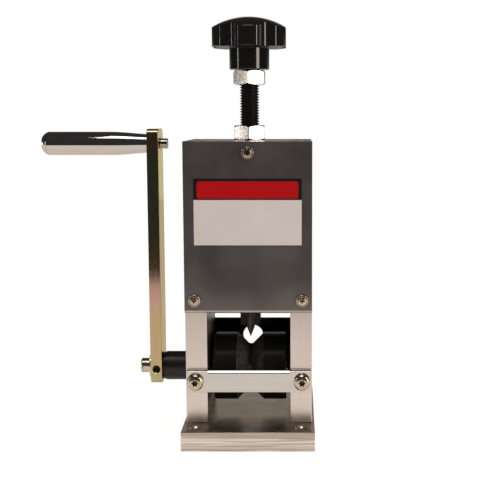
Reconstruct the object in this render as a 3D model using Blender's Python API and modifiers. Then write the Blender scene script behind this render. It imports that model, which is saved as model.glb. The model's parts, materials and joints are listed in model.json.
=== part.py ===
# Hand-cranked cable stripping machine, as an assembly of separate pieces.
# Metres, +Z up, origin at the centre of the base's underside, crank on the -X side.

import math

import bmesh
import bpy
from mathutils import Matrix, Vector

MM = 0.001

# Clearances
SEAT_GAP = 0.3 * MM        # between pieces that rest on or pass through each other
GLUE_GAP = 0.1 * MM        # behind the label
SLIDE_GAP = 0.5 * MM       # each side of the sliding carrier
BLADE_SIDE_GAP = 0.4 * MM  # each side of the blade in its fork
CUT_OVER = 1.0 * MM        # how far a cutter runs past the face it opens

# Base plate
BASE_PAST_BODY = 1.5 * MM  # each side
BASE_THICKNESS = 11 * MM
FRONT_LEDGE = 17 * MM
REAR_LEDGE = 21 * MM
BENCH_HOLE_DIAMETER = 5.5 * MM
BENCH_HOLE_FROM_SIDE = 7.5 * MM
BENCH_HOLE_FROM_END = 7 * MM

# Body
BODY_WIDTH = 70 * MM
BODY_DEPTH = 54 * MM
BODY_HEIGHT = 156.7 * MM
PLATE_THICKNESS = 12 * MM
TOP_PLATE_THICKNESS = 12 * MM
WINDOW_HEIGHT = 62.7 * MM  # below the covers
COVER_THICKNESS = 2.8 * MM
SCREW_FROM_SIDE = 5.5 * MM
COVER_SCREW_FROM_EDGE = 7.2 * MM
LABEL_FROM_SIDE = 5.75 * MM
LABEL_HEIGHT = 36.2 * MM
LABEL_THICKNESS = 0.3 * MM
LABEL_FROM_TOP = 20 * MM

# Front bar and rear guide plate
BAR_SHORTER = 0.5 * MM     # each end of the bar stops this far inside the body
BAR_HEIGHT = 12 * MM
BAR_THICKNESS = 3 * MM
BAR_ABOVE_BASE = 18.3 * MM
GUIDE_HEIGHT = 30 * MM
GUIDE_THICKNESS = 3 * MM
GUIDE_HOLE_DIAMETER = 12 * MM
GUIDE_HOLE_ABOVE_SHAFT = 11.9 * MM

# Drive
SHAFT_ABOVE_BASE = 26.1 * MM
SHAFT_DIAMETER = 12 * MM
SHAFT_SHOULDER = 1 * MM
SHAFT_END_INSET = 1 * MM
BUSH_WALL = 2 * MM
BUSH_FLANGE_WIDTH = 1.7 * MM
BUSH_FLANGE_THICKNESS = 1.6 * MM
ROLLER_DIAMETER = 38.8 * MM
ROLLER_SIDE_GAP = 2.5 * MM
ROLLER_CHAMFER = 0.6 * MM
GROOVE_WIDTH = 15.2 * MM
GROOVE_DEPTH = 6.6 * MM
COLLAR_WALL = 1.95 * MM
COLLAR_LENGTH = 15.1 * MM
COLLAR_STEP_DEPTH = 0.4 * MM
COLLAR_STEP_LENGTH = 1.3 * MM

# Crank
ARM_THICKNESS = 6.5 * MM
ARM_WIDTH = 20 * MM
ARM_PAST_AXIS = 8.3 * MM
ARM_CORNER_RADIUS = 3 * MM
CRANK_RADIUS = 128.7 * MM
WASHER_DIAMETER = 14 * MM
WASHER_THICKNESS = 1 * MM
HANDLE_LENGTH = 60.4 * MM
HANDLE_DIAMETER = 13.2 * MM
HANDLE_NECK_DIAMETER = 10.6 * MM
HANDLE_TAPER_LENGTH = 21 * MM
SPINDLE_HEAD_LENGTH = 3.2 * MM
SPINDLE_DIAMETER = 6 * MM
SPINDLE_PAST_ARM = 4.4 * MM
SPINDLE_SLOT_WIDTH = 1.6 * MM
SPINDLE_SLOT_DEPTH = 1.5 * MM

# Blade and carrier
BLADE_DIAMETER = 26 * MM
BLADE_THICKNESS = 4.2 * MM
BLADE_BEVEL = 5 * MM
BLADE_ABOVE_GROOVE = 4.8 * MM
AXLE_DIAMETER = 6 * MM
FORK_WALL = 3.15 * MM
FORK_DEPTH = 15 * MM
FORK_BELOW_AXLE = 5.3 * MM
CARRIER_ABOVE_AXLE = 7.2 * MM
CARRIER_HEIGHT = 38 * MM

# Adjusting screw, nuts and knob
SCREW_DIAMETER = 9.8 * MM
NECK_SHOULDER = 0.9 * MM
NECK_LENGTH = 14 * MM
GROOVE_PIN_DIAMETER = 3 * MM
NECK_GROOVE_DEPTH = 1.5 * MM
PIN_BELOW_CARRIER_TOP = 8 * MM
NUT_ACROSS_FLATS = 17 * MM
NUT_HEIGHT = 8 * MM
NUT_SPACING = 22.9 * MM
HUB_DIAMETER = 22 * MM
HUB_HEIGHT = 12.3 * MM
STAR_DIAMETER = 42 * MM
STAR_HEIGHT = 10.6 * MM
DOME_HEIGHT = 6.4 * MM
LOBES = 6
SCALLOP_DIAMETER = 10 * MM
SCALLOP_DEPTH = 3.4 * MM
SCREW_IN_KNOB = 12 * MM

# Fasteners: shank diameter, shank length, head diameter and, where it stands proud, head height
COVER_SCREW = (4 * MM, 9 * MM, 6.8 * MM, 2.2 * MM)
BAR_SCREW = (5 * MM, 11 * MM, 9.4 * MM, 3.4 * MM)
BASE_SCREW = (6 * MM, 24 * MM, 11 * MM)
TOP_SCREW = (5 * MM, 22 * MM, 9.4 * MM)
CAP_SCREW = (5 * MM, 11 * MM, 8.4 * MM, 5 * MM)
GRUB_DIAMETER = 4 * MM
GRUB_LENGTH = 3.4 * MM
CRANK_GRUB_DIAMETER = 3.6 * MM

# Facets around a turned piece
ROUND_STEPS = 32
KNOB_STEPS = 48
SMALL_STEPS = 16

# Sizes and places worked out from the sizes above
BASE_WIDTH = BODY_WIDTH + 2 * BASE_PAST_BODY
BASE_DEPTH = FRONT_LEDGE + BODY_DEPTH + REAR_LEDGE
BASE_FRONT = -BASE_DEPTH / 2
BODY_FRONT = BASE_FRONT + FRONT_LEDGE
BODY_REAR = BODY_FRONT + BODY_DEPTH
AXIS_Y = (BODY_FRONT + BODY_REAR) / 2
BASE_TOP = BASE_THICKNESS
PLATE_BOTTOM = BASE_TOP + SEAT_GAP
BODY_TOP = BASE_TOP + BODY_HEIGHT
TOP_PLATE_BOTTOM = BODY_TOP - TOP_PLATE_THICKNESS
PLATE_TOP = TOP_PLATE_BOTTOM - SEAT_GAP
SIDE_X = BODY_WIDTH / 2
INNER_X = SIDE_X - PLATE_THICKNESS
SCREW_X = SIDE_X - SCREW_FROM_SIDE
COVER_BOTTOM = BASE_TOP + WINDOW_HEIGHT
COVER_SCREW_Z = COVER_BOTTOM + COVER_SCREW_FROM_EDGE
TOP_SCREW_Z = BODY_TOP - TOP_PLATE_THICKNESS / 2
BAR_Z = BASE_TOP + BAR_ABOVE_BASE + BAR_HEIGHT / 2
SHAFT_Z = BASE_TOP + SHAFT_ABOVE_BASE
GROOVE_FLOOR = ROLLER_DIAMETER / 2 - GROOVE_DEPTH
AXLE_Z = SHAFT_Z + GROOVE_FLOOR + BLADE_ABOVE_GROOVE + BLADE_DIAMETER / 2
CARRIER_BOTTOM = AXLE_Z + CARRIER_ABOVE_AXLE
CARRIER_TOP = CARRIER_BOTTOM + CARRIER_HEIGHT
PIN_Z = CARRIER_TOP - PIN_BELOW_CARRIER_TOP
LOWER_NUT_Z = BODY_TOP + SEAT_GAP
UPPER_NUT_Z = BODY_TOP + NUT_HEIGHT + NUT_SPACING
KNOB_Z = UPPER_NUT_Z + NUT_HEIGHT + SEAT_GAP
COLLAR_OUTER_X = -SIDE_X - SEAT_GAP - COLLAR_LENGTH
ARM_RIGHT_X = COLLAR_OUTER_X - SEAT_GAP
ARM_LEFT_X = ARM_RIGHT_X - ARM_THICKNESS
ARM_X = (ARM_LEFT_X + ARM_RIGHT_X) / 2
HANDLE_Z = SHAFT_Z + CRANK_RADIUS
SHAFT_END_DIAMETER = SHAFT_DIAMETER - 2 * SHAFT_SHOULDER
BUSH_DIAMETER = SHAFT_DIAMETER + 2 * SEAT_GAP + 2 * BUSH_WALL
BUSH_FLANGE_DIAMETER = BUSH_DIAMETER + 2 * BUSH_FLANGE_WIDTH
COLLAR_DIAMETER = SHAFT_DIAMETER + 2 * SEAT_GAP + 2 * COLLAR_WALL
COLLAR_STEP_DIAMETER = COLLAR_DIAMETER - 2 * COLLAR_STEP_DEPTH
ROLLER_WIDTH = 2 * (INNER_X - ROLLER_SIDE_GAP)
FORK_WIDTH = BLADE_THICKNESS + 2 * BLADE_SIDE_GAP + 2 * FORK_WALL
NECK_DIAMETER = SCREW_DIAMETER - 2 * NECK_SHOULDER
NECK_GROOVE_DIAMETER = NECK_DIAMETER - 2 * NECK_GROOVE_DEPTH
LABEL_WIDTH = BODY_WIDTH - 2 * LABEL_FROM_SIDE

model = bpy.data.collections.new("cable_stripping_machine")
cutters = bpy.data.collections.new("cutters")


def startScene():
    for item in list(bpy.data.objects):
        bpy.data.objects.remove(item, do_unlink=True)
    bpy.context.scene.collection.children.link(model)
    bpy.context.scene.collection.children.link(cutters)


def paint(name, colour, roughness, metallic):
    material = bpy.data.materials.new(name)
    material.use_nodes = True
    shader = material.node_tree.nodes["Principled BSDF"]
    shader.inputs["Base Color"].default_value = (*colour, 1)
    shader.inputs["Roughness"].default_value = roughness
    shader.inputs["Metallic"].default_value = metallic
    material.diffuse_color = (*colour, 1)
    return material


def steel(name):
    return paint(name, (0.72, 0.71, 0.69), 0.3, 1)


def aluminium(name):
    return paint(name, (0.62, 0.58, 0.54), 0.45, 1)


def blackOxide(name):
    return paint(name, (0.03, 0.03, 0.03), 0.45, 0.6)


def blackPlastic(name):
    return paint(name, (0.012, 0.012, 0.013), 0.2, 0)


def chrome(name):
    return paint(name, (0.75, 0.74, 0.73), 0.1, 1)


def yellowZinc(name):
    return paint(name, (0.66, 0.56, 0.32), 0.35, 0.9)


def addMesh(name, form, material, place, parent=None, collection=model):
    """Make an object of a bmesh, with its origin at place."""
    mesh = bpy.data.meshes.new(name)
    form.to_mesh(mesh)
    form.free()
    item = bpy.data.objects.new(name, mesh)
    collection.objects.link(item)
    item.location = place
    if parent:
        item.parent = parent
        item.location = Vector(place) - parent.location
    if material:
        mesh.materials.append(material(name))
    return item


def axisMark(name, place):
    """An empty on a joint's axis, which carries the pieces that move about it."""
    mark = bpy.data.objects.new(name, None)
    mark.location = place
    mark.empty_display_size = 0.01
    model.objects.link(mark)
    return mark


def block(name, low, high, material, place=None, parent=None, corners=0, along="X"):
    """A box between two corners, its edges that run along one axis rounded if asked."""
    size = [high[i] - low[i] for i in range(3)]
    centre = Vector([(high[i] + low[i]) / 2 for i in range(3)])
    place = Vector(place) if place else centre
    form = bmesh.new()
    bmesh.ops.create_cube(form, size=1)
    bmesh.ops.scale(form, vec=size, verts=form.verts)
    bmesh.ops.translate(form, vec=centre - place, verts=form.verts)
    if corners:
        axis = "XYZ".index(along)
        edges = [e for e in form.edges if abs((e.verts[0].co - e.verts[1].co)[axis]) > 0]
        bmesh.ops.bevel(form, geom=edges, offset=corners, segments=5, profile=0.5, affect="EDGES")
    return addMesh(name, form, material, place, parent)


AXES = {
    "+Z": Matrix.Identity(4),
    "-Z": Matrix.Rotation(math.pi, 4, "X"),
    "+X": Matrix.Rotation(math.pi / 2, 4, "Y"),
    "-X": Matrix.Rotation(-math.pi / 2, 4, "Y"),
    "+Y": Matrix.Rotation(-math.pi / 2, 4, "X"),
    "-Y": Matrix.Rotation(math.pi / 2, 4, "X"),
}


def turned(name, profile, material, place, axis="+Z", parent=None, steps=ROUND_STEPS, ring=False):
    """Turn a profile of (radius, height) about an axis; it runs down the outer side."""
    form = bmesh.new()
    points = [form.verts.new((radius, 0, height)) for radius, height in profile]
    for first, second in zip(points, points[1:]):
        form.edges.new((first, second))
    if ring:
        form.edges.new((points[-1], points[0]))
    item = addMesh(name, form, material, place, parent)
    item.matrix_local = Matrix.Translation(item.location) @ AXES[axis]
    turn = item.modifiers.new("turn", "SCREW")
    turn.steps = steps
    turn.render_steps = steps
    turn.use_merge_vertices = True
    turn.merge_threshold = 0.00001
    return item


def cutWith(target, cutter):
    cutter.hide_render = True
    cutter.display_type = "WIRE"
    cut = target.modifiers.new("cut " + cutter.name, "BOOLEAN")
    cut.operation = "DIFFERENCE"
    cut.solver = "EXACT"
    cut.object = cutter


def roundCutter(diameter, start, axis, length, steps, top_diameter=None):
    form = bmesh.new()
    bmesh.ops.create_cone(
        form, cap_ends=True, segments=steps, radius1=diameter / 2,
        radius2=(top_diameter or diameter) / 2, depth=length)
    bmesh.ops.translate(form, vec=(0, 0, length / 2), verts=form.verts)
    cutter = addMesh("hole_cutter", form, None, start, collection=cutters)
    cutter.matrix_local = Matrix.Translation(cutter.location) @ AXES[axis]
    return cutter


def drill(target, diameter, start, axis, length, steps=SMALL_STEPS):
    """Cut a round hole that starts just outside the face at start and runs along axis."""
    step = AXES[axis] @ Vector((0, 0, CUT_OVER))
    cutWith(target, roundCutter(diameter, Vector(start) - step, axis, length + CUT_OVER, steps))


def countersink(target, screw, start, axis):
    """Cut a 90 degree cone for a flat head, down to where it meets the shank's hole."""
    step = AXES[axis] @ Vector((0, 0, CUT_OVER))
    mouth = screw[2] + 4 * SEAT_GAP
    depth = (screw[2] - screw[0]) / 2
    cutter = roundCutter(mouth + 2 * CUT_OVER, Vector(start) - step, axis, depth + CUT_OVER, SMALL_STEPS,
                         top_diameter=mouth - 2 * depth)
    cutWith(target, cutter)


def slotCutter(target, low, high):
    cutter = block("slot_cutter", low, high, None)
    model.objects.unlink(cutter)
    cutters.objects.link(cutter)
    cutWith(target, cutter)


def panScrew(name, sizes, place, axis, parent=None):
    """A screw with a domed head, its head's seat at place, its shank running along axis."""
    shank, length, head, height = sizes
    profile = [
        (0, length), (shank / 2, length), (shank / 2, 0), (head / 2, 0),
        (head / 2, -0.45 * height), (0.36 * head, -0.85 * height), (0.18 * head, -height), (0, -height)]
    return turned(name, profile, steel, place, axis, parent, SMALL_STEPS)


def flatScrew(name, sizes, place, axis, material=steel):
    """A countersunk screw, its head flush with the face at place, its shank running along axis."""
    shank, length, head = sizes
    profile = [(0, length), (shank / 2, length), (shank / 2, (head - shank) / 2), (head / 2, 0), (0, 0)]
    return turned(name, profile, material, place, axis, None, SMALL_STEPS)


def clearHole(screw):
    return screw[0] + 2 * SEAT_GAP


def signedSides():
    return (("left", -1), ("right", 1))


def buildBase():
    base = block("base_plate", (-BASE_WIDTH / 2, BASE_FRONT, 0), (BASE_WIDTH / 2, -BASE_FRONT, BASE_TOP),
                 aluminium, place=(0, 0, 0))
    hole_x = BASE_WIDTH / 2 - BENCH_HOLE_FROM_SIDE
    hole_y = BASE_DEPTH / 2 - BENCH_HOLE_FROM_END
    for side in (-1, 1):
        for end in (-1, 1):
            drill(base, BENCH_HOLE_DIAMETER, (side * hole_x, end * hole_y, 0), "+Z",
                  BASE_THICKNESS + CUT_OVER)
    for row, y in screwRows(BASE_SCREW[2]):
        for side, sign in signedSides():
            start = (sign * (SIDE_X - PLATE_THICKNESS / 2), y, 0)
            drill(base, clearHole(BASE_SCREW), start, "+Z", BASE_THICKNESS + CUT_OVER)
            countersink(base, BASE_SCREW, start, "+Z")
            seat = (start[0], start[1], SEAT_GAP)
            flatScrew(f"base_screw_{row}_{side}", BASE_SCREW, seat, "+Z", blackOxide)


def screwRows(head):
    """Front and rear rows of the vertical screws that hold the side plates."""
    return (("front", BODY_FRONT + head), ("rear", BODY_REAR - head))


def buildSidePlates():
    for side, sign in signedSides():
        inner, outer = sorted((sign * INNER_X, sign * SIDE_X))
        plate = block(f"{side}_side_plate", (inner, BODY_FRONT, PLATE_BOTTOM),
                      (outer, BODY_REAR, PLATE_TOP), aluminium)
        drill(plate, BUSH_DIAMETER + 2 * SEAT_GAP, (inner, AXIS_Y, SHAFT_Z), "+X",
              PLATE_THICKNESS + CUT_OVER, ROUND_STEPS)
        for row, y in screwRows(BASE_SCREW[2]):
            drill(plate, clearHole(BASE_SCREW), (sign * (SIDE_X - PLATE_THICKNESS / 2), y, PLATE_BOTTOM),
                  "+Z", BASE_SCREW[1] - BASE_THICKNESS + CUT_OVER)
        for row, y in screwRows(TOP_SCREW[2]):
            drill(plate, clearHole(TOP_SCREW), (sign * (SIDE_X - PLATE_THICKNESS / 2), y, PLATE_TOP), "-Z",
                  TOP_SCREW[1] - TOP_PLATE_THICKNESS + CUT_OVER)
        for z, screw in ((COVER_SCREW_Z, COVER_SCREW), (BAR_Z, BAR_SCREW)):
            drill(plate, clearHole(screw), (sign * SCREW_X, BODY_FRONT, z), "+Y", screw[1])
            drill(plate, clearHole(screw), (sign * SCREW_X, BODY_REAR, z), "-Y", screw[1])


def buildTopPlate():
    plate = block("top_plate", (-SIDE_X, BODY_FRONT, TOP_PLATE_BOTTOM), (SIDE_X, BODY_REAR, BODY_TOP),
                  aluminium)
    drill(plate, SCREW_DIAMETER + 2 * SEAT_GAP, (0, AXIS_Y, BODY_TOP), "-Z",
          TOP_PLATE_THICKNESS + CUT_OVER, ROUND_STEPS)
    drill(plate, clearHole(COVER_SCREW), (0, BODY_FRONT, TOP_SCREW_Z), "+Y", COVER_SCREW[1])
    drill(plate, clearHole(COVER_SCREW), (0, BODY_REAR, TOP_SCREW_Z), "-Y", COVER_SCREW[1])
    for row, y in screwRows(TOP_SCREW[2]):
        for side, sign in signedSides():
            start = (sign * (SIDE_X - PLATE_THICKNESS / 2), y, BODY_TOP)
            drill(plate, clearHole(TOP_SCREW), start, "-Z", TOP_PLATE_THICKNESS + CUT_OVER)
            countersink(plate, TOP_SCREW, start, "-Z")
            seat = (start[0], start[1], BODY_TOP - SEAT_GAP)
            flatScrew(f"top_screw_{row}_{side}", TOP_SCREW, seat, "-Z")


def coverScrewPlaces():
    return (("left", -SCREW_X, COVER_SCREW_Z), ("right", SCREW_X, COVER_SCREW_Z), ("top", 0, TOP_SCREW_Z))


def buildCover(name, screw_name, face_y, out):
    """A flat cover over the upper body; out is -1 at the front and 1 at the rear."""
    near = face_y + out * SEAT_GAP
    far = near + out * COVER_THICKNESS
    low_y, high_y = sorted((near, far))
    cover = block(name, (-SIDE_X, low_y, COVER_BOTTOM), (SIDE_X, high_y, BODY_TOP), steel)
    axis = "+Y" if out < 0 else "-Y"
    seat_y = far + out * SEAT_GAP
    for place, x, z in coverScrewPlaces():
        drill(cover, clearHole(COVER_SCREW), (x, far, z), axis, COVER_THICKNESS + CUT_OVER)
        panScrew(f"{screw_name}_{place}", COVER_SCREW, (x, seat_y, z), axis)
    return far


def buildLabel(face_y):
    high_y = face_y - GLUE_GAP
    top = BODY_TOP - LABEL_FROM_TOP
    block("blank_label", (-LABEL_WIDTH / 2, high_y - LABEL_THICKNESS, top - LABEL_HEIGHT),
          (LABEL_WIDTH / 2, high_y, top), lambda name: paint(name, (0.6, 0.54, 0.52), 0.5, 0))


def buildBar():
    face_y = BODY_FRONT - SEAT_GAP
    half = SIDE_X - BAR_SHORTER
    bar = block("front_bar", (-half, face_y - BAR_THICKNESS, BAR_Z - BAR_HEIGHT / 2),
                (half, face_y, BAR_Z + BAR_HEIGHT / 2), steel)
    for side, sign in signedSides():
        drill(bar, clearHole(BAR_SCREW), (sign * SCREW_X, face_y - BAR_THICKNESS, BAR_Z), "+Y",
              BAR_THICKNESS + CUT_OVER)
        panScrew(f"bar_screw_{side}", BAR_SCREW,
                 (sign * SCREW_X, face_y - BAR_THICKNESS - SEAT_GAP, BAR_Z), "+Y")


def buildGuidePlate():
    face_y = BODY_REAR + SEAT_GAP
    low_z = BAR_Z - BAR_HEIGHT / 2
    guide = block("rear_guide_plate", (-SIDE_X, face_y, low_z),
                  (SIDE_X, face_y + GUIDE_THICKNESS, low_z + GUIDE_HEIGHT), blackOxide)
    through = GUIDE_THICKNESS + CUT_OVER
    drill(guide, GUIDE_HOLE_DIAMETER, (0, face_y, SHAFT_Z + GUIDE_HOLE_ABOVE_SHAFT), "+Y", through,
          ROUND_STEPS)
    for side, sign in signedSides():
        drill(guide, clearHole(BAR_SCREW), (sign * SCREW_X, face_y, BAR_Z), "+Y", through)
        panScrew(f"guide_screw_{side}", BAR_SCREW,
                 (sign * SCREW_X, face_y + GUIDE_THICKNESS + SEAT_GAP, BAR_Z), "-Y")


def buildBushes():
    bore = SHAFT_DIAMETER / 2 + SEAT_GAP
    flange = BUSH_FLANGE_THICKNESS
    end = SEAT_GAP - PLATE_THICKNESS
    for side, sign in signedSides():
        profile = [
            (BUSH_FLANGE_DIAMETER / 2, flange), (BUSH_FLANGE_DIAMETER / 2, 0), (BUSH_DIAMETER / 2, 0),
            (BUSH_DIAMETER / 2, end), (bore, end), (bore, flange)]
        place = (sign * (INNER_X - SEAT_GAP), AXIS_Y, SHAFT_Z)
        turned(f"{side}_bush", profile, lambda name: paint(name, (0.7, 0.5, 0.25), 0.4, 1), place,
               "-X" if sign > 0 else "+X", ring=True)


def buildDrive():
    axis = axisMark("crank_axis", (0, AXIS_Y, SHAFT_Z))
    centre = axis.location
    radius = SHAFT_DIAMETER / 2
    end_radius = SHAFT_END_DIAMETER / 2
    tap = CAP_SCREW[0] / 2 + SEAT_GAP
    tap_end = -ARM_LEFT_X - CAP_SCREW[1]
    profile = [
        (0, tap_end), (tap, tap_end), (tap, -ARM_LEFT_X - SEAT_GAP), (end_radius, -ARM_LEFT_X - SEAT_GAP),
        (end_radius, -ARM_RIGHT_X), (radius, -ARM_RIGHT_X), (radius, SHAFT_END_INSET - SIDE_X),
        (0, SHAFT_END_INSET - SIDE_X)]
    turned("drive_shaft", profile, steel, centre, "-X", axis)

    bore = radius + SEAT_GAP
    collar = COLLAR_DIAMETER / 2
    step = COLLAR_STEP_DIAMETER / 2
    top = -COLLAR_OUTER_X
    profile = [
        (step, top), (step, top - COLLAR_STEP_LENGTH), (collar, top - COLLAR_STEP_LENGTH),
        (collar, top - COLLAR_LENGTH), (bore, top - COLLAR_LENGTH), (bore, top)]
    turned("shaft_collar", profile, blackOxide, centre, "-X", axis, ring=True)

    half = ROLLER_WIDTH / 2
    outer = ROLLER_DIAMETER / 2
    floor = GROOVE_WIDTH / 2 - GROOVE_DEPTH
    profile = [
        (outer - ROLLER_CHAMFER, half), (outer, half - ROLLER_CHAMFER), (outer, GROOVE_WIDTH / 2),
        (GROOVE_FLOOR, floor), (GROOVE_FLOOR, -floor), (outer, -GROOVE_WIDTH / 2),
        (outer, ROLLER_CHAMFER - half), (outer - ROLLER_CHAMFER, -half), (bore, -half), (bore, half)]
    roller = turned("feed_roller", profile, blackOxide, centre, "+X", axis, KNOB_STEPS, ring=True)
    grub_x = (half + GROOVE_WIDTH / 2) / 2
    drill(roller, GRUB_DIAMETER + 2 * SEAT_GAP, (grub_x, AXIS_Y + outer, SHAFT_Z), "-Y", outer - radius)
    turned("roller_set_screw", [(0, 2 * GRUB_LENGTH), (GRUB_DIAMETER / 2, 2 * GRUB_LENGTH),
                                (GRUB_DIAMETER / 2, 0), (0, 0)],
           blackOxide, (grub_x, AXIS_Y + radius + SEAT_GAP, SHAFT_Z), "+Y", axis, SMALL_STEPS)
    buildCrank(axis)


def buildCrank(axis):
    half = ARM_WIDTH / 2
    arm = block("crank_arm", (ARM_LEFT_X, AXIS_Y - half, SHAFT_Z - ARM_PAST_AXIS),
                (ARM_RIGHT_X, AXIS_Y + half, HANDLE_Z + ARM_PAST_AXIS), yellowZinc,
                place=axis.location, parent=axis, corners=ARM_CORNER_RADIUS, along="X")
    drill(arm, SHAFT_END_DIAMETER + 2 * SEAT_GAP, (ARM_LEFT_X, AXIS_Y, SHAFT_Z), "+X",
          ARM_THICKNESS + CUT_OVER, ROUND_STEPS)
    drill(arm, SPINDLE_DIAMETER + 2 * SEAT_GAP, (ARM_LEFT_X, AXIS_Y, HANDLE_Z), "+X",
          ARM_THICKNESS + CUT_OVER)
    drill(arm, CRANK_GRUB_DIAMETER + 2 * SEAT_GAP, (ARM_X, AXIS_Y - half, SHAFT_Z), "+Y",
          half - SHAFT_END_DIAMETER / 2)
    grub_end = AXIS_Y - SHAFT_END_DIAMETER / 2 - SEAT_GAP
    turned("crank_set_screw", [(0, GRUB_LENGTH), (CRANK_GRUB_DIAMETER / 2, GRUB_LENGTH),
                               (CRANK_GRUB_DIAMETER / 2, 0), (0, 0)],
           blackOxide, (ARM_X, grub_end, SHAFT_Z), "-Y", axis, SMALL_STEPS)

    washer_x = ARM_LEFT_X - SEAT_GAP
    shank, length, head, height = CAP_SCREW
    hole = shank / 2 + SEAT_GAP
    profile = [(WASHER_DIAMETER / 2, WASHER_THICKNESS), (WASHER_DIAMETER / 2, 0), (hole, 0),
               (hole, WASHER_THICKNESS)]
    turned("crank_washer", profile, steel, (washer_x, AXIS_Y, SHAFT_Z), "-X", axis, ring=True)
    seat_x = washer_x - WASHER_THICKNESS - SEAT_GAP
    chamfer = 0.5 * MM
    profile = [(0, height), (head / 2 - chamfer, height), (head / 2, height - chamfer), (head / 2, 0),
               (shank / 2, 0), (shank / 2, -length), (0, -length)]
    turned("crank_cap_screw", profile, steel, (seat_x, AXIS_Y, SHAFT_Z), "-X", axis, SMALL_STEPS + 8)


def buildHandle():
    axis = bpy.data.objects["crank_axis"]
    spin = axisMark("handle_axis", (ARM_LEFT_X, AXIS_Y, HANDLE_Z))
    bore = SPINDLE_DIAMETER / 2 + SEAT_GAP
    neck = HANDLE_NECK_DIAMETER / 2
    grip = HANDLE_DIAMETER / 2
    sleeve_end = HANDLE_LENGTH - SPINDLE_HEAD_LENGTH - SEAT_GAP
    taper = [0, 0.3, 0.6, 0.85, 1]
    swell = [(neck + (grip - neck) * math.sin(part * math.pi / 2), SEAT_GAP + part * HANDLE_TAPER_LENGTH)
             for part in reversed(taper)]
    profile = [(grip, sleeve_end), *swell, (bore, SEAT_GAP), (bore, sleeve_end)]
    turned("handle_sleeve", profile, chrome, spin.location, "-X", spin, ring=True)

    head = HANDLE_LENGTH - SPINDLE_HEAD_LENGTH
    pin = SPINDLE_DIAMETER / 2
    past = -ARM_THICKNESS - SPINDLE_PAST_ARM
    round_off = 0.8 * MM
    profile = [
        (0, HANDLE_LENGTH), (0.5 * grip, HANDLE_LENGTH - 0.1 * MM), (0.74 * grip, HANDLE_LENGTH - 0.6 * MM),
        (0.97 * grip, head), (pin, head), (pin, past + round_off), (pin - round_off, past), (0, past)]
    spindle = turned("handle_spindle", profile, chrome, spin.location, "-X", axis)
    spindle.matrix_local = Matrix.Translation(spin.location - axis.location) @ AXES["-X"]
    end_x = ARM_LEFT_X - HANDLE_LENGTH
    slotCutter(spindle,
               (end_x - CUT_OVER, AXIS_Y - HANDLE_DIAMETER, HANDLE_Z - SPINDLE_SLOT_WIDTH / 2),
               (end_x + SPINDLE_SLOT_DEPTH, AXIS_Y + HANDLE_DIAMETER, HANDLE_Z + SPINDLE_SLOT_WIDTH / 2))


def buildCarrier():
    lift = axisMark("blade_lift_axis", (0, AXIS_Y, AXLE_Z))
    half_x = INNER_X - SLIDE_GAP
    half_y = BODY_DEPTH / 2 - SLIDE_GAP
    fork_bottom = AXLE_Z - FORK_BELOW_AXLE
    carrier = block("blade_carrier", (-half_x, AXIS_Y - half_y, CARRIER_BOTTOM),
                    (half_x, AXIS_Y + half_y, CARRIER_TOP), blackOxide, place=lift.location, parent=lift)
    fork = block("fork_form", (-FORK_WIDTH / 2, AXIS_Y - FORK_DEPTH / 2, fork_bottom),
                 (FORK_WIDTH / 2, AXIS_Y + FORK_DEPTH / 2, CARRIER_BOTTOM + CUT_OVER), None)
    model.objects.unlink(fork)
    cutters.objects.link(fork)
    fork.hide_render = True
    fork.display_type = "WIRE"
    join = carrier.modifiers.new("join fork", "BOOLEAN")
    join.operation = "UNION"
    join.solver = "EXACT"
    join.object = fork

    slot_x = BLADE_THICKNESS / 2 + BLADE_SIDE_GAP
    slot_y = BLADE_DIAMETER / 2 + SLIDE_GAP
    slotCutter(carrier, (-slot_x, AXIS_Y - slot_y, fork_bottom - CUT_OVER),
               (slot_x, AXIS_Y + slot_y, AXLE_Z + slot_y))
    drill(carrier, AXLE_DIAMETER + 2 * SEAT_GAP, (-FORK_WIDTH / 2, AXIS_Y, AXLE_Z), "+X",
          FORK_WIDTH + CUT_OVER)
    drill(carrier, NECK_DIAMETER + 2 * SEAT_GAP, (0, AXIS_Y, CARRIER_TOP), "-Z", NECK_LENGTH + SEAT_GAP)
    pin_x = NECK_GROOVE_DIAMETER / 2 + SEAT_GAP + GROOVE_PIN_DIAMETER / 2
    drill(carrier, GROOVE_PIN_DIAMETER + 2 * SEAT_GAP, (pin_x, AXIS_Y - half_y, PIN_Z), "+Y",
          2 * half_y + CUT_OVER)
    turned("screw_retaining_pin", [(0, half_y), (GROOVE_PIN_DIAMETER / 2, half_y),
                                   (GROOVE_PIN_DIAMETER / 2, -half_y), (0, -half_y)],
           steel, (pin_x, AXIS_Y, PIN_Z), "+Y", lift, SMALL_STEPS)
    turned("blade_axle", [(0, FORK_WIDTH / 2), (AXLE_DIAMETER / 2, FORK_WIDTH / 2),
                          (AXLE_DIAMETER / 2, -FORK_WIDTH / 2), (0, -FORK_WIDTH / 2)],
           steel, lift.location, "+X", lift, SMALL_STEPS + 8)


def buildBlade():
    spin = axisMark("blade_axis", (0, AXIS_Y, AXLE_Z))
    radius = BLADE_DIAMETER / 2
    half = BLADE_THICKNESS / 2
    edge = 0.15 * MM
    bore = AXLE_DIAMETER / 2 + SEAT_GAP
    profile = [(radius - BLADE_BEVEL, half), (radius, edge), (radius, -edge), (radius - BLADE_BEVEL, -half),
               (bore, -half), (bore, half)]
    turned("blade_disc", profile, steel, spin.location, "+X", spin, ring=True)


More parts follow.
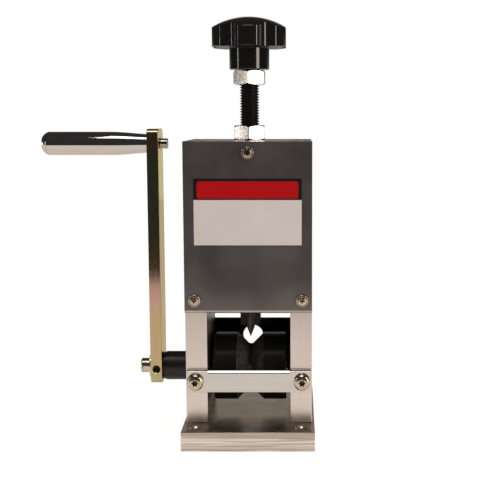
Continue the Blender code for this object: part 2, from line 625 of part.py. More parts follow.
def hexNut(name, low_z, turn, parent):
    radius = NUT_ACROSS_FLATS / 2 / math.cos(math.pi / 6)
    form = bmesh.new()
    bmesh.ops.create_cone(form, cap_ends=True, segments=6, radius1=radius, radius2=radius, depth=NUT_HEIGHT)
    bmesh.ops.translate(form, vec=(0, 0, NUT_HEIGHT / 2), verts=form.verts)
    bmesh.ops.rotate(form, cent=(0, 0, 0), matrix=Matrix.Rotation(turn, 3, "Z"), verts=form.verts)
    nut = addMesh(name, form, steel, (0, AXIS_Y, low_z), parent)
    drill(nut, SCREW_DIAMETER + 2 * SEAT_GAP, (0, AXIS_Y, low_z), "+Z", NUT_HEIGHT + CUT_OVER, ROUND_STEPS)


def buildAdjuster():
    axis = axisMark("knob_axis", (0, AXIS_Y, CARRIER_TOP))
    origin = axis.location.z
    radius = SCREW_DIAMETER / 2
    neck = NECK_DIAMETER / 2
    groove = NECK_GROOVE_DIAMETER / 2
    groove_half = GROOVE_PIN_DIAMETER / 2 + SEAT_GAP
    shoulder = CARRIER_TOP + SEAT_GAP - origin
    pin = PIN_Z - origin
    profile = [
        (0, KNOB_Z + SCREW_IN_KNOB - origin), (radius, KNOB_Z + SCREW_IN_KNOB - origin), (radius, shoulder),
        (neck, shoulder), (neck, pin + groove_half), (groove, pin + groove_half),
        (groove, pin - groove_half), (neck, pin - groove_half), (neck, shoulder - NECK_LENGTH),
        (0, shoulder - NECK_LENGTH)]
    turned("adjusting_screw", profile, blackOxide, axis.location, "+Z", axis)
    hexNut("upper_lock_nut", UPPER_NUT_Z, math.radians(-4), axis)
    lock = axisMark("lock_nut_axis", (0, AXIS_Y, LOWER_NUT_Z))
    hexNut("lower_lock_nut", LOWER_NUT_Z, 0, lock)
    buildKnob(axis)


def buildKnob(axis):
    hub = HUB_DIAMETER / 2
    star = STAR_DIAMETER / 2
    bore = SCREW_DIAMETER / 2 + SEAT_GAP
    blind = SCREW_IN_KNOB + SEAT_GAP
    shoulder = HUB_HEIGHT + STAR_HEIGHT
    dome_radius = (star ** 2 + DOME_HEIGHT ** 2) / (2 * DOME_HEIGHT)
    span = math.asin(star / dome_radius)
    arc = [(dome_radius * math.sin(part * span / 4),
            shoulder + DOME_HEIGHT - dome_radius * (1 - math.cos(part * span / 4))) for part in range(5)]
    arc[0] = (0, shoulder + DOME_HEIGHT)
    profile = [*arc, (star, HUB_HEIGHT), (hub, HUB_HEIGHT), (hub, 0), (bore, 0), (bore, blind), (0, blind)]
    knob = turned("star_knob", profile, blackPlastic, (0, AXIS_Y, KNOB_Z), "+Z", axis, KNOB_STEPS)
    reach = star + SCALLOP_DIAMETER / 2 - SCALLOP_DEPTH
    for lobe in range(LOBES):
        turn = (lobe + 0.5) * 2 * math.pi / LOBES + math.pi / 2
        start = (reach * math.cos(turn), AXIS_Y + reach * math.sin(turn), KNOB_Z + HUB_HEIGHT)
        drill(knob, SCALLOP_DIAMETER, start, "+Z", STAR_HEIGHT + DOME_HEIGHT + CUT_OVER, SMALL_STEPS)


def smoothRoundPieces():
    for item in model.objects:
        if item.type == "MESH":
            item.data.shade_smooth()
            item.data.set_sharp_from_angle(angle=math.radians(35))


startScene()
buildBase()
buildSidePlates()
buildTopPlate()
front_y = buildCover("front_cover", "cover_screw", BODY_FRONT, -1)
buildCover("rear_cover", "rear_cover_screw", BODY_REAR, 1)
buildLabel(front_y)
buildBar()
buildGuidePlate()
buildBushes()
buildDrive()
buildHandle()
buildCarrier()
buildBlade()
buildAdjuster()
smoothRoundPieces()
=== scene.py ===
import json
import math

import bmesh
import bpy
from mathutils import Matrix, Vector


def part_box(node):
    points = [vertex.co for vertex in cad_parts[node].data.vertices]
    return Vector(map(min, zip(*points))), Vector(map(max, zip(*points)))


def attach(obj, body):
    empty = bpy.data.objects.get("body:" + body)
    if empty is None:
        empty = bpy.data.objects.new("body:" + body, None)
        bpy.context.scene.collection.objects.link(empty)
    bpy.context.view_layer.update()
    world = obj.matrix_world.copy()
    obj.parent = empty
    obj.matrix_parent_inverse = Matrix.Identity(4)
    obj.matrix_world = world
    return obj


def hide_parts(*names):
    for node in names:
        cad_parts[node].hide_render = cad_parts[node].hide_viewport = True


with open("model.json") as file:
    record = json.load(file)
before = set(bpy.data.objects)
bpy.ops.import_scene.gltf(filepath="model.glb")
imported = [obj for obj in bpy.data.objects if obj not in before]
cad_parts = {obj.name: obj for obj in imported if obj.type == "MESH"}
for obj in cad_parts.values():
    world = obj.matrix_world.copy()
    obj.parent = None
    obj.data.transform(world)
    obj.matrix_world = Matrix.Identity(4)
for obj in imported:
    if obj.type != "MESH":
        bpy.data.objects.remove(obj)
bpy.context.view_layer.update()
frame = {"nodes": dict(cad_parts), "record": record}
mm = 0.001

bodyOf = {}
for bodyName, members in frame["record"]["behaviour"]["bodies"].items():
    for member in members:
        bodyOf[member] = bodyName

turns = {
    "+Z": Matrix.Identity(4),
    "-Z": Matrix.Rotation(math.pi, 4, "X"),
    "+X": Matrix.Rotation(math.pi / 2, 4, "Y"),
    "-X": Matrix.Rotation(-math.pi / 2, 4, "Y"),
    "+Y": Matrix.Rotation(-math.pi / 2, 4, "X"),
    "-Y": Matrix.Rotation(math.pi / 2, 4, "X"),
}


def stage(words):
    print("stage:", words)


# small modelling helpers

def nothingSelected():
    bpy.ops.object.select_all(action="DESELECT")


def only(piece):
    nothingSelected()
    piece.select_set(True)
    bpy.context.view_layer.objects.active = piece


def editing(piece, kind="VERT"):
    only(piece)
    bpy.ops.object.mode_set(mode="EDIT")
    bpy.ops.mesh.select_mode(type=kind)
    bpy.ops.mesh.select_all(action="DESELECT")


def doneEditing():
    bpy.ops.object.mode_set(mode="OBJECT")


def pick(piece, kind, asked):
    form = bmesh.from_edit_mesh(piece.data)
    for part in {"verts": form.verts, "edges": form.edges, "faces": form.faces}[kind]:
        part.select_set(bool(asked(part)))
    form.select_flush_mode()
    bmesh.update_edit_mesh(piece.data)


def pickVerts(piece, wanted):
    pick(piece, "verts", lambda vert: wanted(vert.co))


def pickEdges(piece, wanted):
    pick(piece, "edges", lambda edge: wanted(edge.verts[0].co, edge.verts[1].co))


def pickFaces(piece, wanted):
    pick(piece, "faces", lambda face: wanted(face.calc_center_median(), face.normal))


def settle(piece):
    # the place goes into the mesh, so that the object sits at the origin
    only(piece)
    bpy.ops.object.transform_apply(location=True, rotation=True, scale=True)
    return piece


def applyAll(piece):
    only(piece)
    for modifier in list(piece.modifiers):
        bpy.ops.object.modifier_apply(modifier=modifier.name)
    return piece


def block(name, low, high, edge=0, steps=2):
    # a box between two corners with all its edges eased
    low, high = Vector(low), Vector(high)
    nothingSelected()
    bpy.ops.mesh.primitive_cube_add(size=1, location=(low + high) / 2, scale=high - low)
    piece = settle(bpy.context.object)
    piece.name = name
    if edge:
        editing(piece, "EDGE")
        bpy.ops.mesh.select_all(action="SELECT")
        bpy.ops.mesh.bevel(offset=edge, segments=steps, affect="EDGES")
        doneEditing()
    return piece


def drawnLine(name, points, lift=0):
    # one point, extruded from place to place; the piece is left in edit mode
    nothingSelected()
    bpy.ops.mesh.primitive_plane_add(size=mm)
    piece = bpy.context.object
    piece.name = name
    editing(piece)
    bpy.ops.mesh.select_all(action="SELECT")
    bpy.ops.mesh.merge(type="CENTER")
    bpy.ops.transform.translate(value=(points[0][0], 0, points[0][1] + lift))
    for here, there in zip(points, points[1:]):
        move = (there[0] - here[0], 0, there[1] - here[1])
        bpy.ops.mesh.extrude_region_move(TRANSFORM_OT_translate={"value": move})
    return piece


def facesOut():
    bpy.ops.mesh.select_all(action="SELECT")
    bpy.ops.mesh.normals_make_consistent(inside=False)
    doneEditing()


def placed(piece, place, way):
    piece.matrix_world = Matrix.Translation(Vector(place)) @ turns[way]
    return settle(piece)


def turnAbout(piece, place, turn):
    # turned about an upright axis through the place
    place = Vector(place)
    piece.data.transform(Matrix.Translation(place) @ Matrix.Rotation(turn, 4, "Z")
                         @ Matrix.Translation(-place))


def lathe(name, profile, place, way="+Z", steps=64, ring=False):
    # the profile is a list of (radius, along the axis), drawn as a line and spun once round
    piece = drawnLine(name, profile)
    if ring:
        form = bmesh.from_edit_mesh(piece.data)
        form.verts.ensure_lookup_table()
        form.verts[0].select_set(True)
        form.verts[len(profile) - 1].select_set(True)
        form.select_flush_mode()
        bpy.ops.mesh.edge_face_add()
    bpy.ops.mesh.select_all(action="SELECT")
    bpy.ops.mesh.spin(steps=steps, angle=2 * math.pi, center=(0, 0, 0), axis=(0, 0, 1))
    bpy.ops.mesh.select_all(action="SELECT")
    bpy.ops.mesh.remove_doubles(threshold=0.000002)
    facesOut()
    return placed(piece, place, way)


def rod(name, diameter, start, way, length, steps=48, end=None):
    # a plain cylinder or cone, used as a cutter
    half = turns[way] @ Vector((0, 0, length / 2))
    nothingSelected()
    bpy.ops.mesh.primitive_cone_add(
        vertices=steps, radius1=diameter / 2, radius2=(diameter if end is None else end) / 2,
        depth=length, location=Vector(start) + half, rotation=turns[way].to_euler())
    piece = bpy.context.object
    piece.name = name
    return settle(piece)


def combine(piece, other, how, solver="EXACT"):
    change = piece.modifiers.new(how.lower(), "BOOLEAN")
    change.operation = how
    change.solver = solver
    change.object = other
    applyAll(piece)
    bpy.data.objects.remove(other, do_unlink=True)
    return piece


def cut(piece, cutter):
    return combine(piece, cutter, "DIFFERENCE")


def hole(piece, diameter, start, way, length, mouth=0.3 * mm, both=True):
    # a round hole with a small chamfer at its mouth, or at both ends when it runs through
    out = turns[way] @ Vector((0, 0, 1))
    start = Vector(start)
    over = 1 * mm
    cut(piece, rod("drill", diameter, start - out * over, way, length + over * (2 if both else 1)))
    if mouth:
        wide = diameter + 2 * mouth
        flare = 0.2 * mm
        cut(piece, rod("flare", wide + 2 * flare, start - out * flare, way, mouth + flare,
                       end=diameter))
        if both:
            cut(piece, rod("flare", diameter, start + out * (length - mouth), way, mouth + flare,
                           end=wide + 2 * flare))
    return piece


def smooth(piece, degrees=32):
    # round surfaces shaded smooth, large flat faces kept flat
    only(piece)
    bpy.ops.object.shade_smooth_by_angle(angle=math.radians(degrees))
    flat = piece.modifiers.new("even", "WEIGHTED_NORMAL")
    flat.keep_sharp = True
    flat.weight = 100
    return applyAll(piece)


def turnedCopy(piece, name, matrix):
    only(piece)
    bpy.ops.object.duplicate(linked=False)
    twin = bpy.context.object
    twin.name = name
    twin.matrix_world = matrix
    return settle(twin)


def join(piece, node):
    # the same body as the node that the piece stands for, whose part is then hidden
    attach(piece, bodyOf[node])
    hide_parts(node)
    return piece


def dress(piece, node, material):
    piece.data.materials.clear()
    piece.data.materials.append(material)
    return join(piece, node)


def twoTone(piece, first, second, wanted):
    # the second material goes on the faces that are wanted
    piece.data.materials.clear()
    piece.data.materials.append(first)
    piece.data.materials.append(second)
    editing(piece, "FACE")
    pickFaces(piece, wanted)
    piece.active_material_index = 1
    bpy.ops.object.material_slot_assign()
    doneEditing()
    return piece


def middle(node):
    low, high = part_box(node)
    return (low + high) / 2


def arcPoints(radius, centre, fromDegrees, toDegrees, count):
    points = []
    for step in range(count + 1):
        angle = math.radians(fromDegrees + (toDegrees - fromDegrees) * step / count)
        points.append((centre[0] + radius * math.cos(angle), centre[1] + radius * math.sin(angle)))
    return points


# materials

def newMaterial(name):
    material = bpy.data.materials.new(name)
    material.use_nodes = True
    return material, material.node_tree, material.node_tree.nodes["Principled BSDF"]


def addNode(tree, kind, **values):
    node = tree.nodes.new(kind)
    for key, value in values.items():
        if key in node.inputs:
            node.inputs[key].default_value = value
        else:
            setattr(node, key, value)
    return node


def stretched(tree, scale, turn=(0, 0, 0)):
    place = addNode(tree, "ShaderNodeTexCoord")
    shape = addNode(tree, "ShaderNodeMapping", Scale=scale, Rotation=turn)
    tree.links.new(place.outputs["Object"], shape.inputs["Vector"])
    return shape.outputs["Vector"]


def noise(tree, vector, scale=1, detail=3, roughness=0.55, distortion=0):
    grain = addNode(tree, "ShaderNodeTexNoise", Scale=scale, Detail=detail, Roughness=roughness,
                    Distortion=distortion)
    tree.links.new(vector, grain.inputs["Vector"])
    return grain.outputs["Fac"]


def spread(tree, value, low, high, fromLow=0.35, fromHigh=0.65, curve="LINEAR"):
    span = addNode(tree, "ShaderNodeMapRange", interpolation_type=curve, **{
        "From Min": fromLow, "From Max": fromHigh, "To Min": low, "To Max": high})
    tree.links.new(value, span.inputs["Value"])
    return span.outputs["Result"]


def shades(tree, value, stops):
    ramp = addNode(tree, "ShaderNodeValToRGB")
    band = ramp.color_ramp
    while len(band.elements) < len(stops):
        band.elements.new(0.5)
    for element, (place, colour) in zip(band.elements, stops):
        element.position = place
        element.color = (*colour, 1)
    tree.links.new(value, ramp.inputs["Fac"])
    return ramp.outputs["Color"]


def blendColours(tree, how, share, first, second):
    mix = addNode(tree, "ShaderNodeMix", data_type="RGBA", blend_type=how)
    for socket, value in ((mix.inputs[0], share), (mix.inputs[6], first), (mix.inputs[7], second)):
        if isinstance(value, (int, float)):
            socket.default_value = value
        elif isinstance(value, tuple):
            socket.default_value = (*value, 1)
        else:
            tree.links.new(value, socket)
    return mix.outputs[2]


def bumped(tree, shader, height, strength, distance):
    bump = addNode(tree, "ShaderNodeBump", Strength=strength, Distance=distance)
    tree.links.new(height, bump.inputs["Height"])
    tree.links.new(bump.outputs["Normal"], shader.inputs["Normal"])


def metal(name, look):
    # a metal with brush lines or grain, slow clouds of tone, and roughness that follows both
    material, tree, shader = newMaterial(name)
    shader.inputs["Metallic"].default_value = look.get("metallic", 1)
    lines = noise(tree, stretched(tree, look["grain"]), detail=look.get("grainDetail", 3),
                  distortion=look.get("wander", 0))
    clouds = noise(tree, stretched(tree, (1, 1, 1)), scale=look.get("cloudScale", 45), detail=2)
    sharp = look.get("sharp", 0.16)
    tone = shades(tree, lines, ((0.5 - sharp, look["dark"]), (0.5 + sharp, look["light"])))
    cloudDark = look.get("cloudDark", (0.82, 0.82, 0.82))
    cloudTone = shades(tree, clouds, ((0.3, cloudDark), (0.7, (1, 1, 1))))
    colour = blendColours(tree, "MULTIPLY", 1, tone, cloudTone)
    tree.links.new(colour, shader.inputs["Base Color"])
    rough = blendColours(tree, "MIX", 0.4, lines, clouds)
    tree.links.new(spread(tree, rough, *look["rough"]), shader.inputs["Roughness"])
    if "wave" in look:
        # a sheet that isn't quite flat, which softens and bends what it mirrors
        sheet = noise(tree, stretched(tree, (1, 1, 1)), scale=look["wave"], detail=1)
        bumped(tree, shader, sheet, 1, look["waveDepth"])
    else:
        bumped(tree, shader, lines, look.get("bump", 0.25), look.get("depth", 0.00003))
    return material


# grain is the number of streaks per metre along X, Y and Z
finishes = {
    "brushedAluminium": {
        "light": (0.95, 0.855, 0.785), "dark": (0.90, 0.80, 0.735), "grain": (1300, 1300, 22),
        "rough": (0.27, 0.30), "bump": 0.03, "cloudScale": 38, "cloudDark": (0.93, 0.92, 0.91)},
    "milledAluminium": {
        "light": (0.92, 0.82, 0.71), "dark": (0.74, 0.65, 0.56), "grain": (150, 150, 150),
        "rough": (0.28, 0.37), "bump": 0.02, "cloudScale": 85, "cloudDark": (0.60, 0.54, 0.47)},
    "sawnAluminium": {
        "light": (1.0, 0.935, 0.86), "dark": (0.60, 0.51, 0.44), "grain": (15, 15, 950),
        "rough": (0.30, 0.40), "bump": 0.7, "depth": 0.00012, "wander": 0.5, "grainDetail": 2,
        "sharp": 0.06, "cloudScale": 30, "cloudDark": (0.93, 0.92, 0.90)},
    "polishedCover": {
        "light": (0.192, 0.168, 0.158), "dark": (0.172, 0.154, 0.146), "grain": (90, 90, 60),
        "rough": (0.15, 0.20), "metallic": 0.60, "cloudScale": 30, "cloudDark": (0.60, 0.63, 0.68),
        "wave": 13, "waveDepth": 0.0022},
    "coverEdge": {
        "light": (0.66, 0.57, 0.50), "dark": (0.52, 0.45, 0.40), "grain": (500, 500, 500),
        "rough": (0.3, 0.42)},
    "polishedBar": {
        "light": (0.82, 0.77, 0.71), "dark": (0.75, 0.71, 0.66), "grain": (24, 700, 900),
        "rough": (0.16, 0.22), "bump": 0.06, "cloudScale": 26, "cloudDark": (0.90, 0.92, 0.98)},
    "polishedTop": {
        "light": (0.92, 0.88, 0.84), "dark": (0.86, 0.82, 0.78), "grain": (24, 900, 900),
        "rough": (0.05, 0.09), "bump": 0.02, "cloudScale": 40, "cloudDark": (0.95, 0.95, 0.95)},
    "brightZinc": {
        "light": (0.86, 0.82, 0.78), "dark": (0.70, 0.66, 0.62), "grain": (600, 600, 600),
        "rough": (0.14, 0.26), "bump": 0.12, "cloudScale": 90, "cloudDark": (0.85, 0.82, 0.78)},
    "nutZinc": {
        "light": (0.86, 0.81, 0.76), "dark": (0.76, 0.71, 0.66), "grain": (900, 900, 500),
        "rough": (0.13, 0.16), "bump": 0.03, "cloudScale": 160, "cloudDark": (0.88, 0.85, 0.82)},
    "goldenScrew": {
        "light": (0.88, 0.79, 0.67), "dark": (0.66, 0.56, 0.44), "grain": (900, 900, 900),
        "rough": (0.16, 0.26), "bump": 0.12, "cloudScale": 160, "cloudDark": (0.80, 0.72, 0.62)},
    # painted shade for the deep part of the screw sockets
    "socketShade": {
        "light": (0.16, 0.12, 0.08), "dark": (0.06, 0.045, 0.03), "grain": (1500, 1500, 1500),
        "rough": (0.4, 0.6), "metallic": 0.8},
    "blackOxide": {
        "light": (0.020, 0.019, 0.018), "dark": (0.010, 0.0095, 0.009), "grain": (900, 900, 900),
        "rough": (0.34, 0.5), "metallic": 0.5, "bump": 0.2, "cloudScale": 80,
        "cloudDark": (0.6, 0.6, 0.6)},
    "rollerBlack": {
        "light": (0.024, 0.0225, 0.021), "dark": (0.021, 0.019, 0.018), "grain": (500, 60, 60),
        "rough": (0.27, 0.31), "metallic": 0.5, "bump": 0.02, "cloudScale": 80,
        "cloudDark": (0.7, 0.7, 0.7)},
    # knurl grain, lighter than the roller: painted highlight on the knurl teeth and on the rounded rims
    "knurlAndEdgeSheen": {
        "light": (0.15, 0.135, 0.12), "dark": (0.022, 0.020, 0.018), "grain": (1100, 1100, 1100),
        "rough": (0.32, 0.5), "metallic": 0.6, "bump": 0.3},
    # a darker copy of the aluminium: painted shade on the inner faces of the side plates
    "paintedShadeAluminium": {
        "light": (0.42, 0.36, 0.30), "dark": (0.22, 0.185, 0.15), "grain": (1300, 1300, 26),
        "rough": (0.34, 0.46), "bump": 0.12, "cloudScale": 90, "cloudDark": (0.6, 0.56, 0.52)},
    "turnedBlack": {
        "light": (0.042, 0.036, 0.033), "dark": (0.024, 0.020, 0.019), "grain": (35, 420, 420),
        "rough": (0.30, 0.42), "metallic": 0.6, "bump": 0.3, "cloudScale": 60},
    "groundSteel": {
        "light": (0.62, 0.60, 0.57), "dark": (0.48, 0.46, 0.44), "grain": (1800, 60, 60),
        "rough": (0.2, 0.32), "bump": 0.2},
    "bladeSteel": {
        "light": (0.66, 0.58, 0.51), "dark": (0.42, 0.36, 0.31), "grain": (1600, 900, 900),
        "rough": (0.42, 0.55), "metallic": 0.85, "bump": 0.2, "cloudScale": 120},
    "bronze": {
        "light": (0.24, 0.17, 0.09), "dark": (0.12, 0.085, 0.05), "grain": (1500, 1500, 1500),
        "rough": (0.36, 0.55), "bump": 0.4},
    "chrome": {
        "light": (0.72, 0.67, 0.635), "dark": (0.69, 0.64, 0.605), "grain": (40, 900, 900),
        "rough": (0.04, 0.06), "bump": 0.004, "cloudScale": 60, "cloudDark": (0.96, 0.96, 0.96)},
}
stage("materials")
made = {name: metal(name, look) for name, look in finishes.items()}


def yellowZincMaterial():
    # zinc plate whose tint drifts between gold, pink and green over the piece
    look = {"gold": (0.60, 0.47, 0.24), "pink": (0.62, 0.39, 0.32), "green": (0.53, 0.53, 0.29),
            "teal": (0.52, 0.55, 0.38), "drift": (75, 55, 15), "rough": (0.075, 0.12),
            "edgeTint": (0.80, 0.74, 0.50)}
    material, tree, shader = newMaterial("yellowZinc")
    shader.inputs["Metallic"].default_value = 1
    drift = noise(tree, stretched(tree, look["drift"]), detail=2, distortion=0.4)
    tint = shades(tree, drift, ((0.34, look["pink"]), (0.46, look["gold"]), (0.57, look["green"]),
                                (0.70, look["teal"])))
    speck = noise(tree, stretched(tree, (1100, 1100, 500)), detail=2)
    fine = shades(tree, speck, ((0.3, (0.93, 0.92, 0.90)), (0.6, (1, 1, 1))))
    tree.links.new(blendColours(tree, "MULTIPLY", 1, tint, fine), shader.inputs["Base Color"])
    tree.links.new(spread(tree, speck, *look["rough"]), shader.inputs["Roughness"])
    bumped(tree, shader, drift, 0.05, 0.0002)
    shader.inputs["Specular Tint"].default_value = (*look["edgeTint"], 1)
    return material


def plasticMaterial():
    # moulded black plastic with faint waviness and fine scuffs
    look = {"colour": (0.0070, 0.0067, 0.0065), "scuffed": (0.0125, 0.0118, 0.0112),
            "rough": (0.08, 0.13),
            "gloss": 0.85}
    material, tree, shader = newMaterial("glossBlackPlastic")
    wave = noise(tree, stretched(tree, (1, 1, 1)), scale=130, detail=2)
    scuff = noise(tree, stretched(tree, (1, 1, 0.3)), scale=1500, detail=4, roughness=0.7)
    tree.links.new(shades(tree, scuff, ((0.5, look["colour"]), (0.75, look["scuffed"]))),
                   shader.inputs["Base Color"])
    tree.links.new(spread(tree, scuff, *look["rough"]), shader.inputs["Roughness"])
    bumped(tree, shader, wave, 0.12, 0.00025)
    shader.inputs["Specular IOR Level"].default_value = look["gloss"]
    return material


def paperMaterial(name, colour, worn):
    # printed film with a fine fibre tone and a faint unevenness
    material, tree, shader = newMaterial(name)
    fibre = noise(tree, stretched(tree, (1, 1, 1)), scale=1700, detail=3)
    stain = noise(tree, stretched(tree, (1, 1, 1)), scale=55, detail=2)
    tone = shades(tree, blendColours(tree, "MIX", 0.5, fibre, stain), ((0.35, worn), (0.6, colour)))
    tree.links.new(tone, shader.inputs["Base Color"])
    tree.links.new(spread(tree, fibre, 0.38, 0.52), shader.inputs["Roughness"])
    bumped(tree, shader, fibre, 0.08, 0.00002)
    shader.inputs["Specular IOR Level"].default_value = 0.12
    return material


made["yellowZinc"] = yellowZincMaterial()
made["plastic"] = plasticMaterial()
made["paleFilm"] = paperMaterial("paleFilm", (0.67, 0.615, 0.59), (0.635, 0.58, 0.555))
made["blackFilm"] = paperMaterial("blackFilm", (0.0085, 0.008, 0.0085), (0.012, 0.0105, 0.0105))
made["redFilm"] = paperMaterial("redFilm", (0.46, 0.003, 0.005), (0.41, 0.003, 0.004))


# camera, light and floor

stage("camera and light")
camera = {"place": (0.02668, -0.5615, 0.18076), "tip": 82.855, "lens": 73.65, "shift": -0.1186}
bpy.ops.object.camera_add(location=camera["place"], rotation=(math.radians(camera["tip"]), 0, 0))
cameraObject = bpy.context.object
cameraObject.data.lens = camera["lens"]
cameraObject.data.sensor_width = 36
cameraObject.data.shift_x = camera["shift"]
cameraObject.data.clip_start = 0.01
bpy.context.scene.camera = cameraObject
bpy.context.scene.view_settings.view_transform = "Standard"

lamps = {
    "leftPanel": {"place": (-1.100, -0.480, 0.52), "size": (0.065, 1.0), "level": 7.2,
                  "tint": (1, 0.96, 0.94)},
    "rightPanel": {"place": (0.945, -0.74, 0.52), "size": (0.34, 1.0), "level": 5.2,
                   "tint": (1, 0.89, 0.79)},
    "topPanel": {"place": (-0.04, -0.42, 1.10), "size": (0.48, 0.40), "level": 3.6,
                 "tint": (1, 0.98, 0.97)},
}


def addLamps():
    aim = Vector((0, 0, 0.12))
    for name, lamp in lamps.items():
        nothingSelected()
        bpy.ops.object.light_add(type="AREA", location=lamp["place"])
        light = bpy.context.object
        light.name = name
        look = aim - light.location
        if name != "topPanel":
            look.z = 0
        light.rotation_euler = look.to_track_quat("-Z", "Y").to_euler()
        light.data.shape = "RECTANGLE"
        light.data.size, light.data.size_y = lamp["size"]
        light.data.energy = lamp["level"] * math.pi * lamp["size"][0] * lamp["size"][1]
        light.data.color = lamp["tint"]


def ramped(tree, value, start, end, low=0, high=1):
    return spread(tree, value, low, high, start, end, "SMOOTHSTEP")


def joined(tree, how, first, second):
    step = addNode(tree, "ShaderNodeMath", operation=how)
    tree.links.new(first, step.inputs[0])
    tree.links.new(second, step.inputs[1])
    return step.outputs[0]


def product(tree, first, second):
    return joined(tree, "MULTIPLY", first, second)


def mixShaders(tree, share, first, second):
    # share is a number or an output; at 1 only the second shows
    mix = addNode(tree, "ShaderNodeMixShader")
    if isinstance(share, (int, float)):
        mix.inputs[0].default_value = share
    else:
        tree.links.new(share, mix.inputs[0])
    tree.links.new(first, mix.inputs[1])
    tree.links.new(second, mix.inputs[2])
    return mix.outputs[0]


def byRay(tree, lit, mirrored, seen):
    # what lights the object, what its metal mirrors, and what the camera sees itself or through glass
    ray = addNode(tree, "ShaderNodeLightPath")
    direct = joined(tree, "MAXIMUM", ray.outputs["Is Camera Ray"], ray.outputs["Is Transmission Ray"])
    shiny = mixShaders(tree, ray.outputs["Is Glossy Ray"], lit, mirrored)
    return mixShaders(tree, direct, shiny, seen)


def buildWorld():
    # white backdrop for the camera; metal sees it low down behind the object and a dim room elsewhere
    look = {"ambient": 0.50, "room": (0.033, 0.033, 0.034), "backdrop": (0.84, 0.81, 0.78),
            "glow": (0.50, 0.46, 0.41)}
    world = bpy.data.worlds.new("studio")
    bpy.context.scene.world = world
    world.use_nodes = True
    tree = world.node_tree
    tree.nodes.clear()
    place = addNode(tree, "ShaderNodeTexCoord")
    parts = addNode(tree, "ShaderNodeSeparateXYZ")
    tree.links.new(place.outputs["Generated"], parts.inputs["Vector"])
    behind = ramped(tree, parts.outputs["Y"], 0.55, 0.80)
    lowDown = ramped(tree, parts.outputs["Z"], 0.01, 0.075, 1, 0)
    low = product(tree, behind, lowDown)
    straight = ramped(tree, parts.outputs["Y"], 0.80, 0.90)
    notFar = ramped(tree, parts.outputs["Z"], 0.31, 0.42, 1, 0)
    notNear = ramped(tree, parts.outputs["Z"], 0.13, 0.19)
    left = ramped(tree, parts.outputs["X"], -0.20, -0.10)
    high = product(tree, product(tree, straight, left), product(tree, notFar, notNear))
    above = blendColours(tree, "MIX", high, look["room"], look["glow"])
    seen = blendColours(tree, "MIX", low, above, look["backdrop"])
    ambient = addNode(tree, "ShaderNodeBackground", Color=(1, 0.985, 0.97, 1), Strength=look["ambient"])
    glossy = addNode(tree, "ShaderNodeBackground", Strength=1)
    tree.links.new(seen, glossy.inputs["Color"])
    white = addNode(tree, "ShaderNodeBackground", Color=(1, 1, 1, 1), Strength=1)
    final = byRay(tree, ambient.outputs[0], glossy.outputs[0], white.outputs[0])
    out = addNode(tree, "ShaderNodeOutputWorld")
    tree.links.new(final, out.inputs["Surface"])


def buildFloor():
    # a pale table: white to the camera apart from the soft shadow, warm and pale in the metal
    look = {"front": -0.54, "back": 1.6, "side": 1.5, "whiteShare": 0.92, "glow": 1.055,
            "paint": (0.80, 0.76, 0.72), "mirrored": (0.97, 0.90, 0.84)}
    nothingSelected()
    bpy.ops.mesh.primitive_plane_add(size=1, location=(0, (look["front"] + look["back"]) / 2, -0.0004))
    floor = bpy.context.object
    floor.name = "floor"
    floor.scale = (2 * look["side"], look["back"] - look["front"], 1)
    settle(floor)
    material, tree, shader = newMaterial("paleFloor")
    shader.inputs["Roughness"].default_value = 0.9
    fleck = noise(tree, stretched(tree, (1, 1, 1)), scale=300)
    tree.links.new(shades(tree, fleck, ((0.3, look["paint"]), (0.7, (0.84, 0.80, 0.76)))),
                   shader.inputs["Base Color"])
    glow = addNode(tree, "ShaderNodeEmission", Color=(1, 1, 1, 1), Strength=look["glow"])
    mirrored = addNode(tree, "ShaderNodeEmission", Color=(*look["mirrored"], 1), Strength=1)
    pale = mixShaders(tree, look["whiteShare"], shader.outputs[0], glow.outputs[0])
    soft = mixShaders(tree, 0.5, shader.outputs[0], mirrored.outputs[0])
    final = byRay(tree, shader.outputs[0], soft, pale)
    tree.links.new(final, tree.nodes["Material Output"].inputs["Surface"])
    floor.data.materials.append(material)


addLamps()
buildWorld()
buildFloor()


# places that several pieces share

axisY = middle("feed_roller").y
shaftZ = middle("feed_roller").z
handleZ = middle("handle_sleeve").z
sides = ("left", "right")
corners = [(row, side) for row in ("front", "rear") for side in sides]
fits = {"shaftBore": 6.3 * mm, "coverHole": 4.6 * mm, "barHole": 5.6 * mm, "mouth": 0.2 * mm,
        "over": 1 * mm}


# screws

def crossRecess(piece, place, size, depth):
    # a cross slot that narrows towards its floor, cut down into a head that faces +Z
    for turn in (0, 1):
        nothingSelected()
        bpy.ops.mesh.primitive_cube_add(size=1, location=Vector(place),
                                        scale=(size, size * 0.24, 2 * depth))
        slot = settle(bpy.context.object)
        editing(slot, "FACE")
        pickFaces(slot, lambda centre, normal: normal.z < -0.9)
        bpy.ops.transform.resize(value=(0.45, 0.6, 1))
        doneEditing()
        if turn:
            turnAbout(slot, place, math.pi / 2)
        cut(piece, slot)


def starRecess(piece, place, size, depth):
    # a six-lobed socket: six slim cutters set round the axis and one core
    lobe = 0.26 * size
    for turn in range(6):
        angle = turn * math.pi / 3
        reach = size / 2 - lobe / 2
        at = Vector(place) + Vector((reach * math.cos(angle), reach * math.sin(angle), -depth))
        cut(piece, rod("lobe", lobe, at, "+Z", 2 * depth, steps=12))
    cut(piece, rod("core", 0.70 * size, Vector(place) - Vector((0, 0, depth)), "+Z", 2 * depth,
                   steps=24))


def hexRecess(piece, place, across, depth):
    wide = across / math.cos(math.pi / 6)
    cut(piece, rod("hexagon", wide, Vector(place) - Vector((0, 0, depth)), "+Z", 2 * depth, steps=6))


def headCurve(look):
    # from the crown to the rim: a high power gives a flat-topped pan head, two gives a dome
    head, rise, power = look["head"] / 2, look["height"] - look["rim"], look["flatness"]
    points = []
    for step in range(15):
        share = math.sin(step / 14 * math.pi / 2)
        points.append((head * share, look["rim"] + rise * (1 - share ** power) ** (1 / power)))
    points[-1] = (head, look["rim"])
    return points


